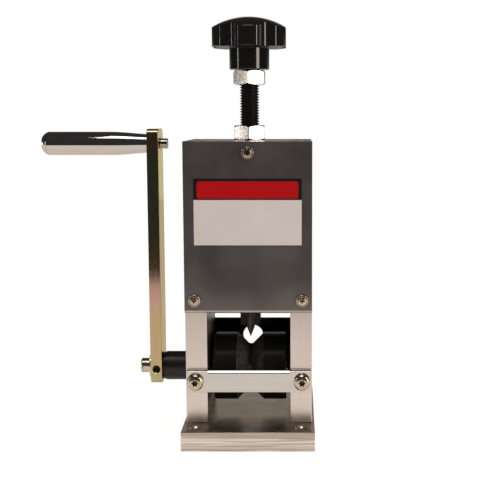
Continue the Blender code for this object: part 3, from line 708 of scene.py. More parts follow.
def flangedCurve(look):
    # a low button standing in a dished flange whose rim is rounded
    head, button, top, groove = look["head"] / 2, look["button"] / 2, look["height"], look["groove"]
    lip = look["flange"]
    return [(0, top), (0.8 * button, top - 0.02 * mm), (0.92 * button, top - 0.1 * mm),
            (0.98 * button, top - 0.25 * mm), (button, top - 0.5 * mm), (button + 0.05 * mm, groove),
            (head - 0.62 * mm, groove + 0.12 * mm), (head - 0.5 * mm, lip - 0.06 * mm),
            (head - 0.36 * mm, lip), (head - 0.2 * mm, lip - 0.04 * mm),
            (head - 0.06 * mm, lip - 0.2 * mm), (head, lip - 0.45 * mm)]


def domedScrew(name, look):
    # head up along +Z with its seat at the origin
    head = look["head"] / 2
    shank = look["shank"] / 2
    profile = (flangedCurve(look) if "button" in look else headCurve(look)) + [
        (head, 0.12 * mm), (head - 0.12 * mm, 0), (shank, 0), (shank, -look["length"] + 0.5 * mm),
        (shank - 0.5 * mm, -look["length"]), (0, -look["length"])]
    return lathe(name, profile, (0, 0, 0), steps=48)


def paintSocketShade(piece, look):
    # painted shade in the bottom of the socket, where the driver goes
    floor = look["height"] - look["shadeDepth"] - 0.02 * mm
    twoTone(piece, made["goldenScrew"], made["socketShade"],
            lambda centre, normal: math.hypot(centre.x, centre.y) < 0.5 * look["recess"]
            and 0.1 * mm < centre.z < floor)


def placeScrew(model, node, head):
    # head is the outward side of the screw, and its seat is the far side of the node's head
    low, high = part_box(node)
    spot = (low + high) / 2
    spot.y = (low.y + screwHeight[model.name] if head == "-Y" else high.y - screwHeight[model.name])
    return turnedCopy(model, node + "Visual", Matrix.Translation(spot) @ turns[head])


def flushScrew(name, look):
    # a countersunk head, face at the origin and shank down along -Z
    head = look["head"] / 2
    shank = look["shank"] / 2
    cone = head - shank
    profile = [(0, 0), (head - 0.15 * mm, 0), (head, -0.1 * mm), (shank, -cone),
               (shank, -look["length"]),
               (0, -look["length"])]
    return lathe(name, profile, (0, 0, 0), steps=40)


# on domed heads the bottom of the socket carries painted shade, to the depth given in each look
screwLooks = {
    "coverScrew": {"head": 6.8 * mm, "height": 2.2 * mm, "shank": 4 * mm, "length": 8.6 * mm,
                   "recess": 3.4 * mm, "depth": 1.5 * mm, "shadeDepth": 0.3 * mm, "button": 4.7 * mm,
                   "flange": 1.15 * mm, "groove": 0.75 * mm},
    "barScrew": {"head": 9.4 * mm, "height": 3.4 * mm, "rim": 0.5 * mm, "flatness": 3.2,
                 "shank": 5 * mm,
                 "length": 10.6 * mm, "recess": 3.8 * mm, "depth": 2.2 * mm, "shadeDepth": 0.5 * mm},
    "topScrew": {"head": 9.4 * mm, "shank": 5 * mm, "length": 21 * mm,
                 "recess": 5.0 * mm, "depth": 1.8 * mm},
    "baseScrew": {"head": 11 * mm, "shank": 6 * mm, "length": 23 * mm,
                  "recess": 4.0 * mm, "depth": 2.4 * mm},
}
screwHeight = {name: look.get("height", 0) for name, look in screwLooks.items()}


def buildScrews():
    models = {}
    recesses = {"coverScrew": crossRecess, "barScrew": starRecess, "topScrew": crossRecess,
                "baseScrew": hexRecess}
    for name, look in screwLooks.items():
        domed = "height" in look
        screw = domedScrew(name, look) if domed else flushScrew(name, look)
        recesses[name](screw, (0, 0, look.get("height", 0)), look["recess"], look["depth"])
        models[name] = smooth(screw, 38)
        if domed:
            paintSocketShade(screw, look)
    for side in sides:
        for node, way in ((f"bar_screw_{side}", "-Y"), (f"guide_screw_{side}", "+Y")):
            join(placeScrew(models["barScrew"], node, way), node)
    for spot in ("left", "right", "top"):
        for node, way in ((f"cover_screw_{spot}", "-Y"), (f"rear_cover_screw_{spot}", "+Y")):
            join(placeScrew(models["coverScrew"], node, way), node)
    for row, side in corners:
        for kind, way, finish in (("top", "+Z", "brightZinc"), ("base", "-Z", "blackOxide")):
            node = f"{kind}_screw_{row}_{side}"
            low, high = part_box(node)
            spot = (low + high) / 2
            spot.z = high.z if way == "+Z" else low.z
            twin = turnedCopy(models[kind + "Screw"], node + "Visual",
                              Matrix.Translation(spot) @ turns[way])
            dress(twin, node, made[finish])
    for model in models.values():
        bpy.data.objects.remove(model, do_unlink=True)


stage("screws")
buildScrews()


# plates

plateLook = {"edge": 0.35 * mm, "screwMouth": 0.25 * mm, "coverDepth": 9 * mm, "barDepth": 11 * mm}


def screwHoles(piece, node, screws, wide):
    # clear holes through a flat piece, from front to rear
    low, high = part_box(node)
    for screw in screws:
        spot = middle(screw)
        hole(piece, wide, (spot.x, low.y, spot.z), "+Y", high.y - low.y, mouth=fits["mouth"])


def sunkHoles(plate, kind, look, low, high):
    # clear holes with a countersink for flat heads; the base screws go in from below
    over = fits["over"]
    way, level = ("+Z", low.z - over) if kind == "base" else ("-Z", high.z + over)
    for row, side in corners:
        spot = middle(f"{kind}_screw_{row}_{side}")
        hole(plate, look["screwHole"], (spot.x, spot.y, low.z), "+Z", high.z - low.z, mouth=0)
        cut(plate, rod("sink", look["screwMouth"] + 2 * over, (spot.x, spot.y, level), way,
                       look["screwDepth"] + over, end=look["screwMouth"] - 2 * look["screwDepth"]))


def buildBase():
    look = {"benchHole": 5.5 * mm, "fromSide": 7.5 * mm, "fromEnd": 7 * mm, "screwHole": 6.6 * mm,
            "screwMouth": 12.2 * mm, "screwDepth": 2.8 * mm, "edge": 0.4 * mm, "mouth": 0.9 * mm}
    low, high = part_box("base_plate")
    base = block("basePlate", low, high, look["edge"])
    for x in (low.x + look["fromSide"], high.x - look["fromSide"]):
        for y in (low.y + look["fromEnd"], high.y - look["fromEnd"]):
            hole(base, look["benchHole"], (x, y, low.z), "+Z", high.z - low.z,
                 mouth=look["mouth"])
    sunkHoles(base, "base", look, low, high)
    smooth(base)
    twoTone(base, made["sawnAluminium"], made["milledAluminium"],
            lambda centre, normal: abs(normal.z) > 0.9)
    join(base, "base_plate")


def buildSidePlates():
    bush = {"gap": 0.3 * mm}
    for side, sign in (("left", -1), ("right", 1)):
        node = f"{side}_side_plate"
        low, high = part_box(node)
        plate = block(f"{side}Plate", low, high, plateLook["edge"])
        bore = 2 * (bushBodyRadius(side) + bush["gap"])
        hole(plate, bore, (low.x, axisY, shaftZ), "+X", high.x - low.x)
        for kind in ("cover", "bar"):
            spot = middle(f"{kind}_screw_{side}")
            for y, way in ((low.y, "+Y"), (high.y, "-Y")):
                hole(plate, fits[kind + "Hole"], (spot.x, y, spot.z), way, plateLook[kind + "Depth"],
                     mouth=plateLook["screwMouth"], both=False)
        # the inner faces, between the plates, take the darker copy: painted shade
        twoTone(smooth(plate), made["brushedAluminium"], made["paintedShadeAluminium"],
                lambda centre, normal: normal.x * sign < -0.9)
        join(plate, node)


def bushBodyRadius(side):
    # the bush body, inside the plate, is thinner than its flange
    form = frame["nodes"][f"{side}_bush"].data
    low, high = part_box(f"{side}_side_plate")
    inside = [vert.co for vert in form.vertices if low.x < vert.co.x < high.x]
    return max(math.hypot(spot.y - axisY, spot.z - shaftZ) for spot in inside)


def buildTopPlate():
    look = {"bore": 11.3 * mm, "screwMouth": 10.6 * mm, "screwDepth": 2.8 * mm, "screwHole": 5.6 * mm}
    low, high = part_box("top_plate")
    plate = block("topPlate", low, high, plateLook["edge"])
    hole(plate, look["bore"], (0, axisY, low.z), "+Z", high.z - low.z, mouth=0.5 * mm)
    for screw, way, y in (("cover_screw_top", "+Y", low.y), ("rear_cover_screw_top", "-Y", high.y)):
        spot = middle(screw)
        hole(plate, fits["coverHole"], (spot.x, y, spot.z), way, plateLook["coverDepth"],
             mouth=fits["mouth"], both=False)
    sunkHoles(plate, "top", look, low, high)
    twoTone(smooth(plate), made["brushedAluminium"], made["milledAluminium"],
            lambda centre, normal: abs(normal.z) > 0.9)
    join(plate, "top_plate")


def buildCover(node, prefix, out):
    # out is -1 for the front; the lower outer edge is rolled over and its faces take a lighter metal
    look = {"rolled": 1.7 * mm, "edge": 0.4 * mm}
    low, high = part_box(node)
    face = low.y if out < 0 else high.y
    cover = block(node.replace("_", ""), low, high)
    editing(cover, "EDGE")
    pickEdges(cover, lambda a, b: abs(a.x - b.x) > 9 * mm and abs(a.y - face) < 0.1 * mm
              and a.z < low.z + 0.1 * mm)
    bpy.ops.mesh.bevel(offset=look["rolled"], segments=4, affect="EDGES")
    pickEdges(cover, lambda a, b: abs(a.y - face) < 0.01 * mm and abs(b.y - face) < 0.01 * mm
              and max(a.z, b.z) > low.z + 2 * mm)
    bpy.ops.mesh.bevel(offset=look["edge"], segments=3, affect="EDGES")
    doneEditing()
    screwHoles(cover, node, [f"{prefix}_{spot}" for spot in (*sides, "top")], fits["coverHole"])
    smooth(cover)
    twoTone(cover, made["polishedCover"], made["coverEdge"],
            lambda centre, normal: centre.z < low.z + look["rolled"] and normal.z < -0.1)
    join(cover, node)


def buildBar():
    # between the plates the top front corner is planed off in two slopes, so that cable slides over it
    look = {"edge": 0.3 * mm, "slopes": ((1.25 * mm, 0.36), (0.66 * mm, 0.95)), "above": 5 * mm,
            "stop": 0.4 * mm}
    low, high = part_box("front_bar")
    bar = block("frontBar", low, high, look["edge"], 3)
    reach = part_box("right_side_plate")[0].x - look["stop"]
    face = low.y
    lastDeep, lastLean = look["slopes"][0]
    for deep, lean in look["slopes"]:
        face += (lastDeep - deep) * lastLean    # the second slope starts further back
        planer = block("planer", (-reach, low.y - look["above"], high.z - deep),
                       (reach, face, high.z + look["above"]))
        editing(planer)
        pickVerts(planer, lambda spot: spot.y > face - 0.1 * mm and spot.z > high.z)
        bpy.ops.transform.translate(value=(0, (look["above"] + deep) * lean, 0))
        doneEditing()
        cut(bar, planer)
        lastDeep, lastLean = deep, lean
    screwHoles(bar, "front_bar", [f"bar_screw_{side}" for side in sides], fits["barHole"])
    twoTone(smooth(bar, 12), made["polishedBar"], made["polishedTop"],
            lambda centre, normal: 0.1 < normal.z < 0.85 and abs(centre.x) < reach
            and centre.z > high.z - look["slopes"][0][0])
    join(bar, "front_bar")


def buildGuidePlate():
    look = {"hole": 12 * mm, "aboveShaft": 11.9 * mm, "edge": 0.3 * mm, "mouth": 0.5 * mm}
    low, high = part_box("rear_guide_plate")
    guide = block("guidePlate", low, high, look["edge"])
    hole(guide, look["hole"], (0, low.y, shaftZ + look["aboveShaft"]), "+Y", high.y - low.y,
         mouth=look["mouth"])
    screwHoles(guide, "rear_guide_plate", [f"guide_screw_{side}" for side in sides], fits["barHole"])
    dress(smooth(guide), "rear_guide_plate", made["blackOxide"])


def buildLabel():
    # three plain colour fields on a thin film, with no words or signs
    look = {"header": 11.5 * mm, "barInset": 1.75 * mm, "barAbove": 0.7 * mm, "barTop": 1.4 * mm,
            "layer": 0.06 * mm, "corner": 1.4 * mm}
    low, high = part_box("blank_label")
    split = high.z - look["header"]
    face = low.y + look["layer"]
    field = block("labelField", (low.x, face, low.z), (high.x, high.y, split), 0.05 * mm, 1)
    header = block("labelHeader", (low.x, face, split), high, 0.05 * mm, 1)
    band = block("labelBand", (low.x + look["barInset"], low.y, split + look["barAbove"]),
                 (high.x - look["barInset"], face, high.z - look["barTop"]))
    editing(band, "EDGE")
    pickEdges(band, lambda a, b: abs(a.y - b.y) > 0.5 * look["layer"])
    bpy.ops.mesh.bevel(offset=look["corner"], segments=8, affect="EDGES")
    doneEditing()
    for piece, finish in ((field, "paleFilm"), (header, "blackFilm"), (band, "redFilm")):
        dress(smooth(piece), "blank_label", made[finish])


stage("plates and covers")
buildBase()
buildSidePlates()
buildTopPlate()
buildCover("front_cover", "cover_screw", -1)
buildCover("rear_cover", "rear_cover_screw", 1)
buildBar()
buildGuidePlate()
buildLabel()


# drive: bushes, shaft, roller, collar and crank

def buildBushes():
    look = {"edge": 0.3 * mm, "flange": 1.6 * mm}
    for side, way in (("left", "+X"), ("right", "-X")):
        low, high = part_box(f"{side}_bush")
        outer = (high.z - low.z) / 2
        body = bushBodyRadius(side)
        bore = fits["shaftBore"]
        length = high.x - low.x
        e = look["edge"]
        profile = [(bore + e, 0), (outer - e, 0), (outer, -e), (outer, -look["flange"]),
                   (body, -look["flange"]), (body, e - length), (body - e, -length),
                   (bore + e, -length), (bore, e - length), (bore, -e)]
        start = high.x if side == "left" else low.x
        bush = lathe(f"{side}Bush", profile, (start, axisY, shaftZ), way, ring=True)
        dress(smooth(bush), f"{side}_bush", made["bronze"])


def buildShaft():
    look = {"end": 5 * mm, "body": 6 * mm, "edge": 0.5 * mm, "tap": 2.6 * mm, "tapDepth": 10 * mm,
            "centre": 1.3 * mm}
    low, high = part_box("drive_shaft")
    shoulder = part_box("crank_arm")[1].x
    e = look["edge"]
    body, end, tap, dimple = look["body"], look["end"], look["tap"], look["centre"]
    left, right = low.x, high.x
    profile = [(0, right - dimple), (dimple, right), (body - e, right), (body, right - e),
               (body, shoulder + 0.2 * mm), (body - 0.2 * mm, shoulder), (end, shoulder),
               (end, left + e), (end - e, left), (tap + e, left),
               (tap, left + e), (tap, left + look["tapDepth"]), (0, left + look["tapDepth"] + tap)]
    shaft = lathe("driveShaft", profile, (0, axisY, shaftZ), "+X", steps=48)
    dress(smooth(shaft), "drive_shaft", made["groundSteel"])


def buildRoller():
    # knurled vee roller: the flanks of the vee carry fine teeth, its rims are turned smooth
    look = {"edge": 0.6 * mm, "grooveHalf": 7.6 * mm, "grooveDepth": 6.6 * mm, "teeth": 96,
            "toothDepth": 0.22 * mm, "floorHalf": 1.0 * mm, "boreEdge": 0.4 * mm, "tap": 4.6 * mm}
    bore, ease = fits["shaftBore"], look["boreEdge"]
    low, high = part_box("feed_roller")
    outer = (high.z - low.z) / 2
    half = (high.x - low.x) / 2
    e = look["edge"]
    floor = outer - look["grooveDepth"]
    rows = 6
    flank = []
    for step in range(rows + 1):
        share = step / rows
        flank.append((outer - share * look["grooveDepth"],
                      look["grooveHalf"] + share * (look["floorHalf"] - look["grooveHalf"])))
    mirrored = [(radius, -along) for radius, along in reversed(flank)]
    profile = ([(outer - e, half), (outer, half - e), (outer, look["grooveHalf"] + 0.5 * mm)]
               + flank + mirrored
               + [(outer, -look["grooveHalf"] - 0.5 * mm), (outer, e - half), (outer - e, -half),
                  (bore + ease, -half), (bore, ease - half), (bore, half - ease), (bore + ease, half)])
    roller = lathe("feedRoller", profile, (0, axisY, shaftZ), "+X", steps=2 * look["teeth"], ring=True)
    form = bmesh.new()
    form.from_mesh(roller.data)
    for vert in form.verts:
        offset = Vector((0, vert.co.y - axisY, vert.co.z - shaftZ))
        if abs(vert.co.x) < look["grooveHalf"] - 0.6 * mm and offset.length > floor - 0.1 * mm:
            turn = math.atan2(offset.z, offset.y) / (2 * math.pi) * 2 * look["teeth"]
            if round(turn) % 2:
                vert.co -= offset.normalized() * look["toothDepth"]
    form.to_mesh(roller.data)
    form.free()
    grub = middle("roller_set_screw")
    cut(roller, rod("tap", look["tap"], (grub.x, axisY + outer + 1 * mm, shaftZ), "-Y", outer - 5 * mm))
    smooth(roller, 24)
    # the vee flanks and the rounded rim edges take the lighter metal, a painted highlight over the
    # knurl texture
    twoTone(roller, made["rollerBlack"], made["knurlAndEdgeSheen"],
            lambda centre, normal: abs(centre.x) < look["grooveHalf"] and 0.3 < abs(normal.x) < 0.95
            or abs(abs(centre.x) - half) < e and 0.4 < abs(normal.x) < 0.95)
    join(roller, "feed_roller")


def grubScrew(node, name, way, key):
    low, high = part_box(node)
    length = high.y - low.y
    radius = (high.x - low.x) / 2
    e = 0.35 * mm
    profile = [(0, 0), (radius - e, 0), (radius, -e), (radius, e - length), (radius - e, -length),
               (0, -length + 0.4 * mm)]
    grub = lathe(name, profile, (0, 0, 0), steps=24)
    hexRecess(grub, (0, 0, 0), key, 1.3 * mm)
    smooth(grub, 38)
    spot = (low + high) / 2
    spot.y = low.y if way == "-Y" else high.y
    twin = turnedCopy(grub, name + "Visual", Matrix.Translation(spot) @ turns[way])
    bpy.data.objects.remove(grub, do_unlink=True)
    dress(twin, node, made["blackOxide"])


def buildCollar():
    look = {"edge": 0.35 * mm, "step": 0.4 * mm, "stepLength": 1.3 * mm}
    low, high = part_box("shaft_collar")
    outer = (high.z - low.z) / 2
    left, right = low.x, high.x
    bore, e = fits["shaftBore"], look["edge"]
    inner = outer - look["step"]
    profile = [(bore, right), (outer - e, right), (outer, right - e),
               (outer, left + look["stepLength"] + 0.15 * mm),
               (outer - 0.15 * mm, left + look["stepLength"]), (inner, left + look["stepLength"]),
               (inner, left + 0.2 * mm), (inner - 0.2 * mm, left), (bore, left)]
    collar = lathe("shaftCollar", profile, (0, axisY, shaftZ), "+X", steps=72, ring=True)
    dress(smooth(collar), "shaft_collar", made["turnedBlack"])


def buildCrankArm():
    look = {"corner": 3 * mm, "edge": 0.35 * mm, "shaftHole": 10.6 * mm, "pinHole": 6.6 * mm,
            "grubHole": 4.2 * mm}
    low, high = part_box("crank_arm")
    arm = block("crankArm", low, high)
    editing(arm, "EDGE")
    pickEdges(arm, lambda a, b: abs(a.x - b.x) > 1 * mm)
    bpy.ops.mesh.bevel(offset=look["corner"], segments=8, affect="EDGES")
    pickFaces(arm, lambda centre, normal: abs(normal.x) > 0.9)
    bpy.ops.mesh.bevel(offset=look["edge"], segments=3, affect="EDGES")
    doneEditing()
    hole(arm, look["shaftHole"], (low.x, axisY, shaftZ), "+X", high.x - low.x)
    hole(arm, look["pinHole"], (low.x, axisY, handleZ), "+X", high.x - low.x)
    hole(arm, look["grubHole"], ((low.x + high.x) / 2, low.y, shaftZ), "+Y", axisY - low.y - 5 * mm,
         mouth=0.25 * mm, both=False)
    dress(smooth(arm), "crank_arm", made["yellowZinc"])


def buildWasherAndCap():
    look = {"washerHole": 5.6 * mm, "edge": 0.15 * mm, "shank": 2.5 * mm, "slotWide": 1.3 * mm,
            "slotDeep": 1.4 * mm, "round": 0.7 * mm}
    low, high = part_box("crank_washer")
    outer, inner, e = (high.z - low.z) / 2, look["washerHole"] / 2, look["edge"]
    profile = [(inner, high.x), (outer - e, high.x), (outer, high.x - e),
               (outer, low.x + e), (outer - e, low.x),
               (inner, low.x)]
    washer = lathe("crankWasher", profile, (0, axisY, shaftZ), "+X", steps=56, ring=True)
    dress(smooth(washer), "crank_washer", made["brightZinc"])
    capLow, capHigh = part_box("crank_cap_screw")
    head = (capHigh.z - capLow.z) / 2
    seat = low.x - 0.3 * mm
    curve = look["round"]
    rim = [(head - curve + curve * math.sin(math.radians(a)),
            capLow.x + curve - curve * math.cos(math.radians(a)))
           for a in (90, 68, 45, 22, 0)]
    profile = [(0, capHigh.x), (look["shank"], capHigh.x), (look["shank"], seat),
               (head - 0.15 * mm, seat),
               (head, seat - 0.15 * mm)] + rim + [(0, capLow.x)]
    cap = lathe("crankCap", profile, (0, axisY, shaftZ), "+X", steps=48)
    slot = block("slot", (capLow.x - 1 * mm, axisY - 2 * head, shaftZ - look["slotWide"] / 2),
                 (capLow.x + look["slotDeep"], axisY + 2 * head, shaftZ + look["slotWide"] / 2))
    cut(cap, slot)
    dress(smooth(cap), "crank_cap_screw", made["goldenScrew"])


stage("drive")
buildBushes()
buildShaft()
buildRoller()
grubScrew("roller_set_screw", "rollerGrub", "+Y", 2.0 * mm)
buildCollar()
buildCrankArm()
grubScrew("crank_set_screw", "crankGrub", "-Y", 1.9 * mm)
buildWasherAndCap()


# threads, handle, carrier, blade and adjuster

def threaded(name, major, pitch, depth, start, length, place, way):
    # one tooth drawn on the side of a post, wound up the post, then trimmed flat at both ends
    root = major / 2 - depth
    tooth = [(root, 0), (root + depth, 0.36 * pitch), (root + depth, 0.50 * pitch),
             (root, 0.86 * pitch), (root, pitch)]
    piece = drawnLine(name, tooth, lift=start - pitch)
    doneEditing()
    wind = piece.modifiers.new("wind", "SCREW")
    wind.screw_offset = pitch
    wind.iterations = int(length / pitch) + 2
    wind.steps = 28
    wind.render_steps = 28
    applyAll(piece)
    editing(piece)
    bpy.ops.mesh.select_all(action="SELECT")
    bpy.ops.mesh.remove_doubles(threshold=0.000005)
    bpy.ops.mesh.select_all(action="DESELECT")
    bpy.ops.mesh.select_non_manifold()
    bpy.ops.mesh.fill_holes(sides=0)
    facesOut()
    trim = 0.6 * mm
    outer = major / 2 + 0.05 * mm
    profile = [(0, start), (outer - trim, start), (outer, start + trim), (outer, start + length - trim),
               (outer - trim, start + length), (0, start + length)]
    combine(piece, lathe("trim", profile, (0, 0, 0), steps=32), "INTERSECT")
    return placed(piece, place, way)


def buildHandle():
    look = {"neck": 5.3 * mm, "grip": 6.6 * mm, "taper": 21 * mm, "bore": 3.3 * mm, "edge": 0.4 * mm,
            "closer": 0.15 * mm}
    low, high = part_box("handle_sleeve")
    neck, grip, e = look["neck"], look["grip"], look["edge"]
    swell = []
    for step in range(13):
        share = step / 12
        eased = 0.5 - 0.5 * math.cos(share * math.pi)
        bend = 0.55 * math.sin(share * math.pi / 2) + 0.45 * eased
        swell.append((neck + (grip - neck) * bend, high.x - e - share * look["taper"]))
    left = low.x - look["closer"]
    profile = ([(look["bore"], high.x), (neck - e, high.x)] + swell
               + [(grip, left + 0.08 * mm), (grip - 0.08 * mm, left), (look["bore"], left)])
    sleeve = lathe("handleSleeve", profile, (0, axisY, handleZ), "+X", steps=96, ring=True)
    dress(smooth(sleeve), "handle_sleeve", made["chrome"])

    pin = {"core": 3 * mm, "head": 6.4 * mm, "headLength": 3.2 * mm, "slotWide": 1.6 * mm,
           "slotDeep": 1.5 * mm, "stud": 6.4 * mm, "thread": 1.25 * mm, "threadDepth": 0.5 * mm,
           "crown": ((5.45, 1.55), (4.7, 0.75), (4.1, 0.32), (3.5, 0.1))}
    low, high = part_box("handle_spindle")
    seat = low.x + pin["headLength"] - 0.05 * mm
    crown = [(pin["head"], seat - 0.08 * mm), (pin["head"] - 0.12 * mm, seat - 0.35 * mm),
             *((wide * mm, low.x + rise * mm) for wide, rise in pin["crown"]), (2.8 * mm, low.x)]
    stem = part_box("crank_arm")[1].x - 0.4 * mm
    profile = ([(0, stem), (pin["core"], stem), (pin["core"], seat), (pin["head"] - 0.08 * mm, seat)]
               + crown + [(0, low.x)])
    spindle = lathe("handleSpindle", profile, (0, axisY, handleZ), "+X", steps=64)
    cut(spindle, block("slot", (low.x - 1 * mm, axisY - 8 * mm, handleZ - pin["slotWide"] / 2),
                       (low.x + pin["slotDeep"], axisY + 8 * mm, handleZ + pin["slotWide"] / 2)))
    stud = threaded("stud", pin["stud"], pin["thread"], pin["threadDepth"], 0, high.x - stem + 0.5 * mm,
                    (stem - 0.5 * mm, axisY, handleZ), "+X")
    combine(spindle, stud, "UNION", "MANIFOLD")    # the exact solver loses the head in some runs
    dress(smooth(spindle), "handle_spindle", made["chrome"])


def buildCarrier():
    look = {"edge": 0.5 * mm, "bladeSlot": 5 * mm, "slotReach": 13.5 * mm, "forkHalf": 5.65 * mm,
            "forkDeep": 7.5 * mm, "neckHole": 8.6 * mm, "pinHole": 3.6 * mm, "axleHole": 6.6 * mm,
            "neckDepth": 14.3 * mm, "aboveAxle": 7.2 * mm, "forkEdge": 0.6 * mm}
    low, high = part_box("blade_carrier")
    axle = middle("blade_axle")
    bottom = low.z
    blockBottom = axle.z + look["aboveAxle"]
    carrier = block("bladeCarrier", (low.x, low.y, blockBottom), high, look["edge"])
    fork = block("fork", (-look["forkHalf"], axisY - look["forkDeep"], bottom),
                 (look["forkHalf"], axisY + look["forkDeep"], blockBottom + 1 * mm), look["forkEdge"])
    combine(carrier, fork, "UNION")
    cut(carrier, block("slot", (-look["bladeSlot"] / 2, axisY - look["slotReach"], bottom - 1 * mm),
                       (look["bladeSlot"] / 2, axisY + look["slotReach"], axle.z + look["slotReach"])))
    hole(carrier, look["axleHole"], (-look["forkHalf"], axisY, axle.z), "+X", 2 * look["forkHalf"])
    hole(carrier, look["neckHole"], (0, axisY, high.z), "-Z", look["neckDepth"], both=False)
    pin = middle("screw_retaining_pin")
    hole(carrier, look["pinHole"], (pin.x, low.y, pin.z), "+Y", high.y - low.y)
    dress(smooth(carrier), "blade_carrier", made["blackOxide"])


def buildBlade():
    look = {"bevel": 5 * mm, "edge": 0.05 * mm, "bore": 3.3 * mm, "hub": 0.25 * mm}
    low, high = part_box("blade_disc")
    axle = middle("blade_disc")
    radius, half = (high.z - low.z) / 2, (high.x - low.x) / 2
    bevel, bore, keen, e = look["bevel"], look["bore"], look["edge"], look["hub"]
    profile = [(bore, half - e), (bore + e, half), (radius - bevel, half),
               (radius, keen), (radius, -keen),
               (radius - bevel, -half), (bore + e, -half), (bore, e - half)]
    blade = lathe("bladeDisc", profile, (0, axle.y, axle.z), "+X", steps=96, ring=True)
    dress(smooth(blade, 20), "blade_disc", made["bladeSteel"])


def smallPin(node, name, way, finish):
    low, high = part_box(node)
    centre = (low + high) / 2
    along = high.x - low.x if way == "+X" else high.y - low.y
    radius = (high.z - low.z) / 2
    e = 0.3 * mm
    profile = [(0, along / 2), (radius - e, along / 2), (radius, along / 2 - e),
               (radius, e - along / 2),
               (radius - e, -along / 2), (0, -along / 2)]
    dress(smooth(lathe(name, profile, centre, way, steps=32)), node, made[finish])


def buildNut(node, name, turn):
    # hexagon trimmed by a shallow double cone, as a turned nut is
    look = {"across": 17 * mm, "bore": 11.3 * mm, "ease": 0.25 * mm}
    low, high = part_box(node)
    tall = high.z - low.z
    corner = look["across"] / 2 / math.cos(math.pi / 6)
    nothingSelected()
    bpy.ops.mesh.primitive_cylinder_add(vertices=6, radius=corner, depth=tall,
                                        location=(0, axisY, (low.z + high.z) / 2))
    nut = settle(bpy.context.object)
    nut.name = name
    turnAbout(nut, (0, axisY, 0), turn)
    editing(nut, "EDGE")
    pickEdges(nut, lambda a, b: abs(a.z - b.z) > 1 * mm)
    bpy.ops.mesh.bevel(offset=look["ease"], segments=3, affect="EDGES")
    doneEditing()
    flat = look["across"] / 2 - 0.3 * mm
    drop = (corner + 0.1 * mm - flat) * math.tan(math.radians(32))
    profile = [(0, low.z), (flat, low.z), (corner + 0.1 * mm, low.z + drop),
               (corner + 0.1 * mm, high.z - drop),
               (flat, high.z), (0, high.z)]
    combine(nut, lathe("crown", profile, (0, axisY, 0), steps=96), "INTERSECT")
    hole(nut, look["bore"], (0, axisY, low.z), "+Z", tall, mouth=0.7 * mm)
    dress(smooth(nut, 25), node, made["nutZinc"])


def buildAdjustingScrew():
    look = {"major": 11.0 * mm, "pitch": 1.5 * mm, "depth": 0.95 * mm, "neck": 4 * mm,
            "groove": 2.5 * mm, "grooveHalf": 1.8 * mm}
    low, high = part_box("adjusting_screw")
    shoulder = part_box("blade_carrier")[1].z + 0.3 * mm
    pin = middle("screw_retaining_pin").z
    stem = threaded("adjustingScrew", look["major"], look["pitch"], look["depth"],
                    shoulder, high.z - shoulder,
                    (0, axisY, 0), "+Z")
    neck, groove, half = look["neck"], look["groove"], look["grooveHalf"]
    profile = [(0, shoulder + 1 * mm), (neck, shoulder + 1 * mm), (neck, pin + half),
               (groove, pin + half), (groove, pin - half), (neck, pin - half),
               (neck, low.z + 0.4 * mm), (neck - 0.4 * mm, low.z),
               (0, low.z)]
    combine(stem, lathe("neck", profile, (0, axisY, 0), steps=40), "UNION")
    dress(smooth(stem, 28), "adjusting_screw", made["blackOxide"])


def buildKnob():
    look = {"hub": 11.2 * mm, "hubHeight": 12.3 * mm, "star": 21.6 * mm, "rimHeight": 10.6 * mm,
            "dome": 6.4 * mm, "lobes": 6, "scallop": 10 * mm, "scallopDepth": 3.4 * mm,
            "nose": 16 * mm, "blend": 2.2 * mm,
            "rimRound": 0.7 * mm, "bore": 5.2 * mm, "boreDepth": 12.3 * mm}
    low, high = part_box("star_knob")
    foot = low.z
    hubTop = foot + look["hubHeight"]
    rimTop = hubTop + look["rimHeight"]
    top = rimTop + look["dome"]
    star, hub, soft = look["star"], look["hub"], look["rimRound"]
    ball = (star * star + look["dome"] ** 2) / (2 * look["dome"])
    span = math.degrees(math.asin((star - 0.8 * soft) / ball))
    cap = arcPoints(ball, (0, top - ball), 90, 90 - span, 16)
    cap[0] = (0, top)
    shoulder = [(star - 0.25 * soft, cap[-1][1] - 0.45 * soft), (star, cap[-1][1] - 1.1 * soft)]
    under = [(star, hubTop + soft), (star - 0.3 * soft, hubTop + 0.3 * soft), (star - soft, hubTop),
             (hub + 2.2 * mm, hubTop + 0.3 * mm), (hub + 0.6 * mm, hubTop + 0.2 * mm),
             (hub, hubTop - 0.5 * mm),
             (hub, foot + 0.6 * mm), (hub - 0.2 * mm, foot + 0.2 * mm), (hub - 0.6 * mm, foot)]
    bore = [(look["bore"] + 0.5 * mm, foot), (look["bore"], foot + 0.5 * mm),
            (look["bore"], foot + look["boreDepth"]), (0, foot + look["boreDepth"])]
    knob = lathe("starKnob", cap + shoulder + under + bore, (0, axisY, 0), steps=120)
    combine(knob, starPrism(look, foot), "INTERSECT")
    twoTone(smooth(knob, 40), made["plastic"], made["blackOxide"],
            lambda centre, normal: normal.z < -0.6 and abs(centre.z - hubTop) < 1.5 * mm)
    join(knob, "star_knob")


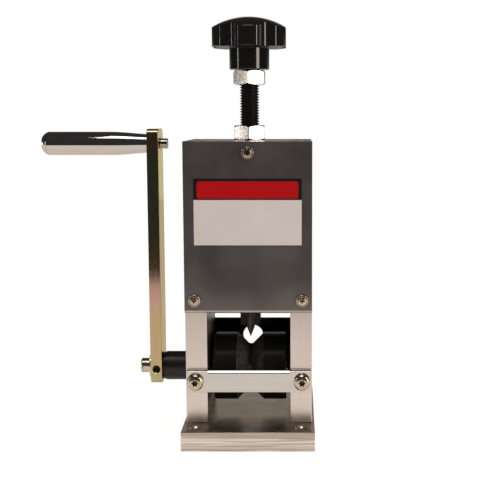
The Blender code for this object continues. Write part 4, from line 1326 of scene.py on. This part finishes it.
def starRadius(turn, look):
    # distance from the axis to the outline: round-nosed lobes, blended into round scallops
    pitch = 2 * math.pi / look["lobes"]
    near = (turn - math.pi / 2 + pitch / 2) % pitch - pitch / 2
    noseAt = look["star"] - look["nose"]
    scoopAt = look["star"] + look["scallop"] / 2 - look["scallopDepth"]

    def outside(radius):
        x, y = radius * math.cos(near), radius * math.sin(near)
        nose = math.hypot(x - noseAt, y) - look["nose"]
        scoop = max(look["scallop"] / 2 - math.hypot(x - scoopAt * math.cos(pitch / 2),
                                                     y - side * scoopAt * math.sin(pitch / 2))
                    for side in (-1, 1))
        share = max(look["blend"] - abs(nose - scoop), 0) / look["blend"]
        return max(nose, scoop) + share * share * look["blend"] / 4

    inner, outer = 0.5 * look["star"], 1.1 * look["star"]
    for _ in range(40):
        trial = (inner + outer) / 2
        if outside(trial) > 0:
            outer = trial
        else:
            inner = trial
    return inner


def starPrism(look, foot):
    # a round disc whose rim points are drawn in to the star outline, then pulled up
    count = 360
    nothingSelected()
    bpy.ops.mesh.primitive_circle_add(vertices=count, radius=look["star"], fill_type="NGON",
                                      location=(0, axisY, foot - 20 * mm))
    prism = settle(bpy.context.object)
    for vert in prism.data.vertices:
        turn = math.atan2(vert.co.y - axisY, vert.co.x)
        reach = starRadius(turn, look)
        vert.co.x, vert.co.y = reach * math.cos(turn), axisY + reach * math.sin(turn)
    editing(prism, "FACE")
    bpy.ops.mesh.select_all(action="SELECT")
    bpy.ops.mesh.extrude_region_move(TRANSFORM_OT_translate={"value": (0, 0, 70 * mm)})
    facesOut()
    return prism


stage("handle, carrier and blade")
buildHandle()
buildCarrier()
buildBlade()
smallPin("blade_axle", "bladeAxle", "+X", "groundSteel")
smallPin("screw_retaining_pin", "retainingPin", "+Y", "groundSteel")
stage("adjuster")
buildNut("upper_lock_nut", "upperNut", math.radians(-4))
buildNut("lower_lock_nut", "lowerNut", 0)
buildAdjustingScrew()
buildKnob()

nothingSelected()
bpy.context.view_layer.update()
stage("done")
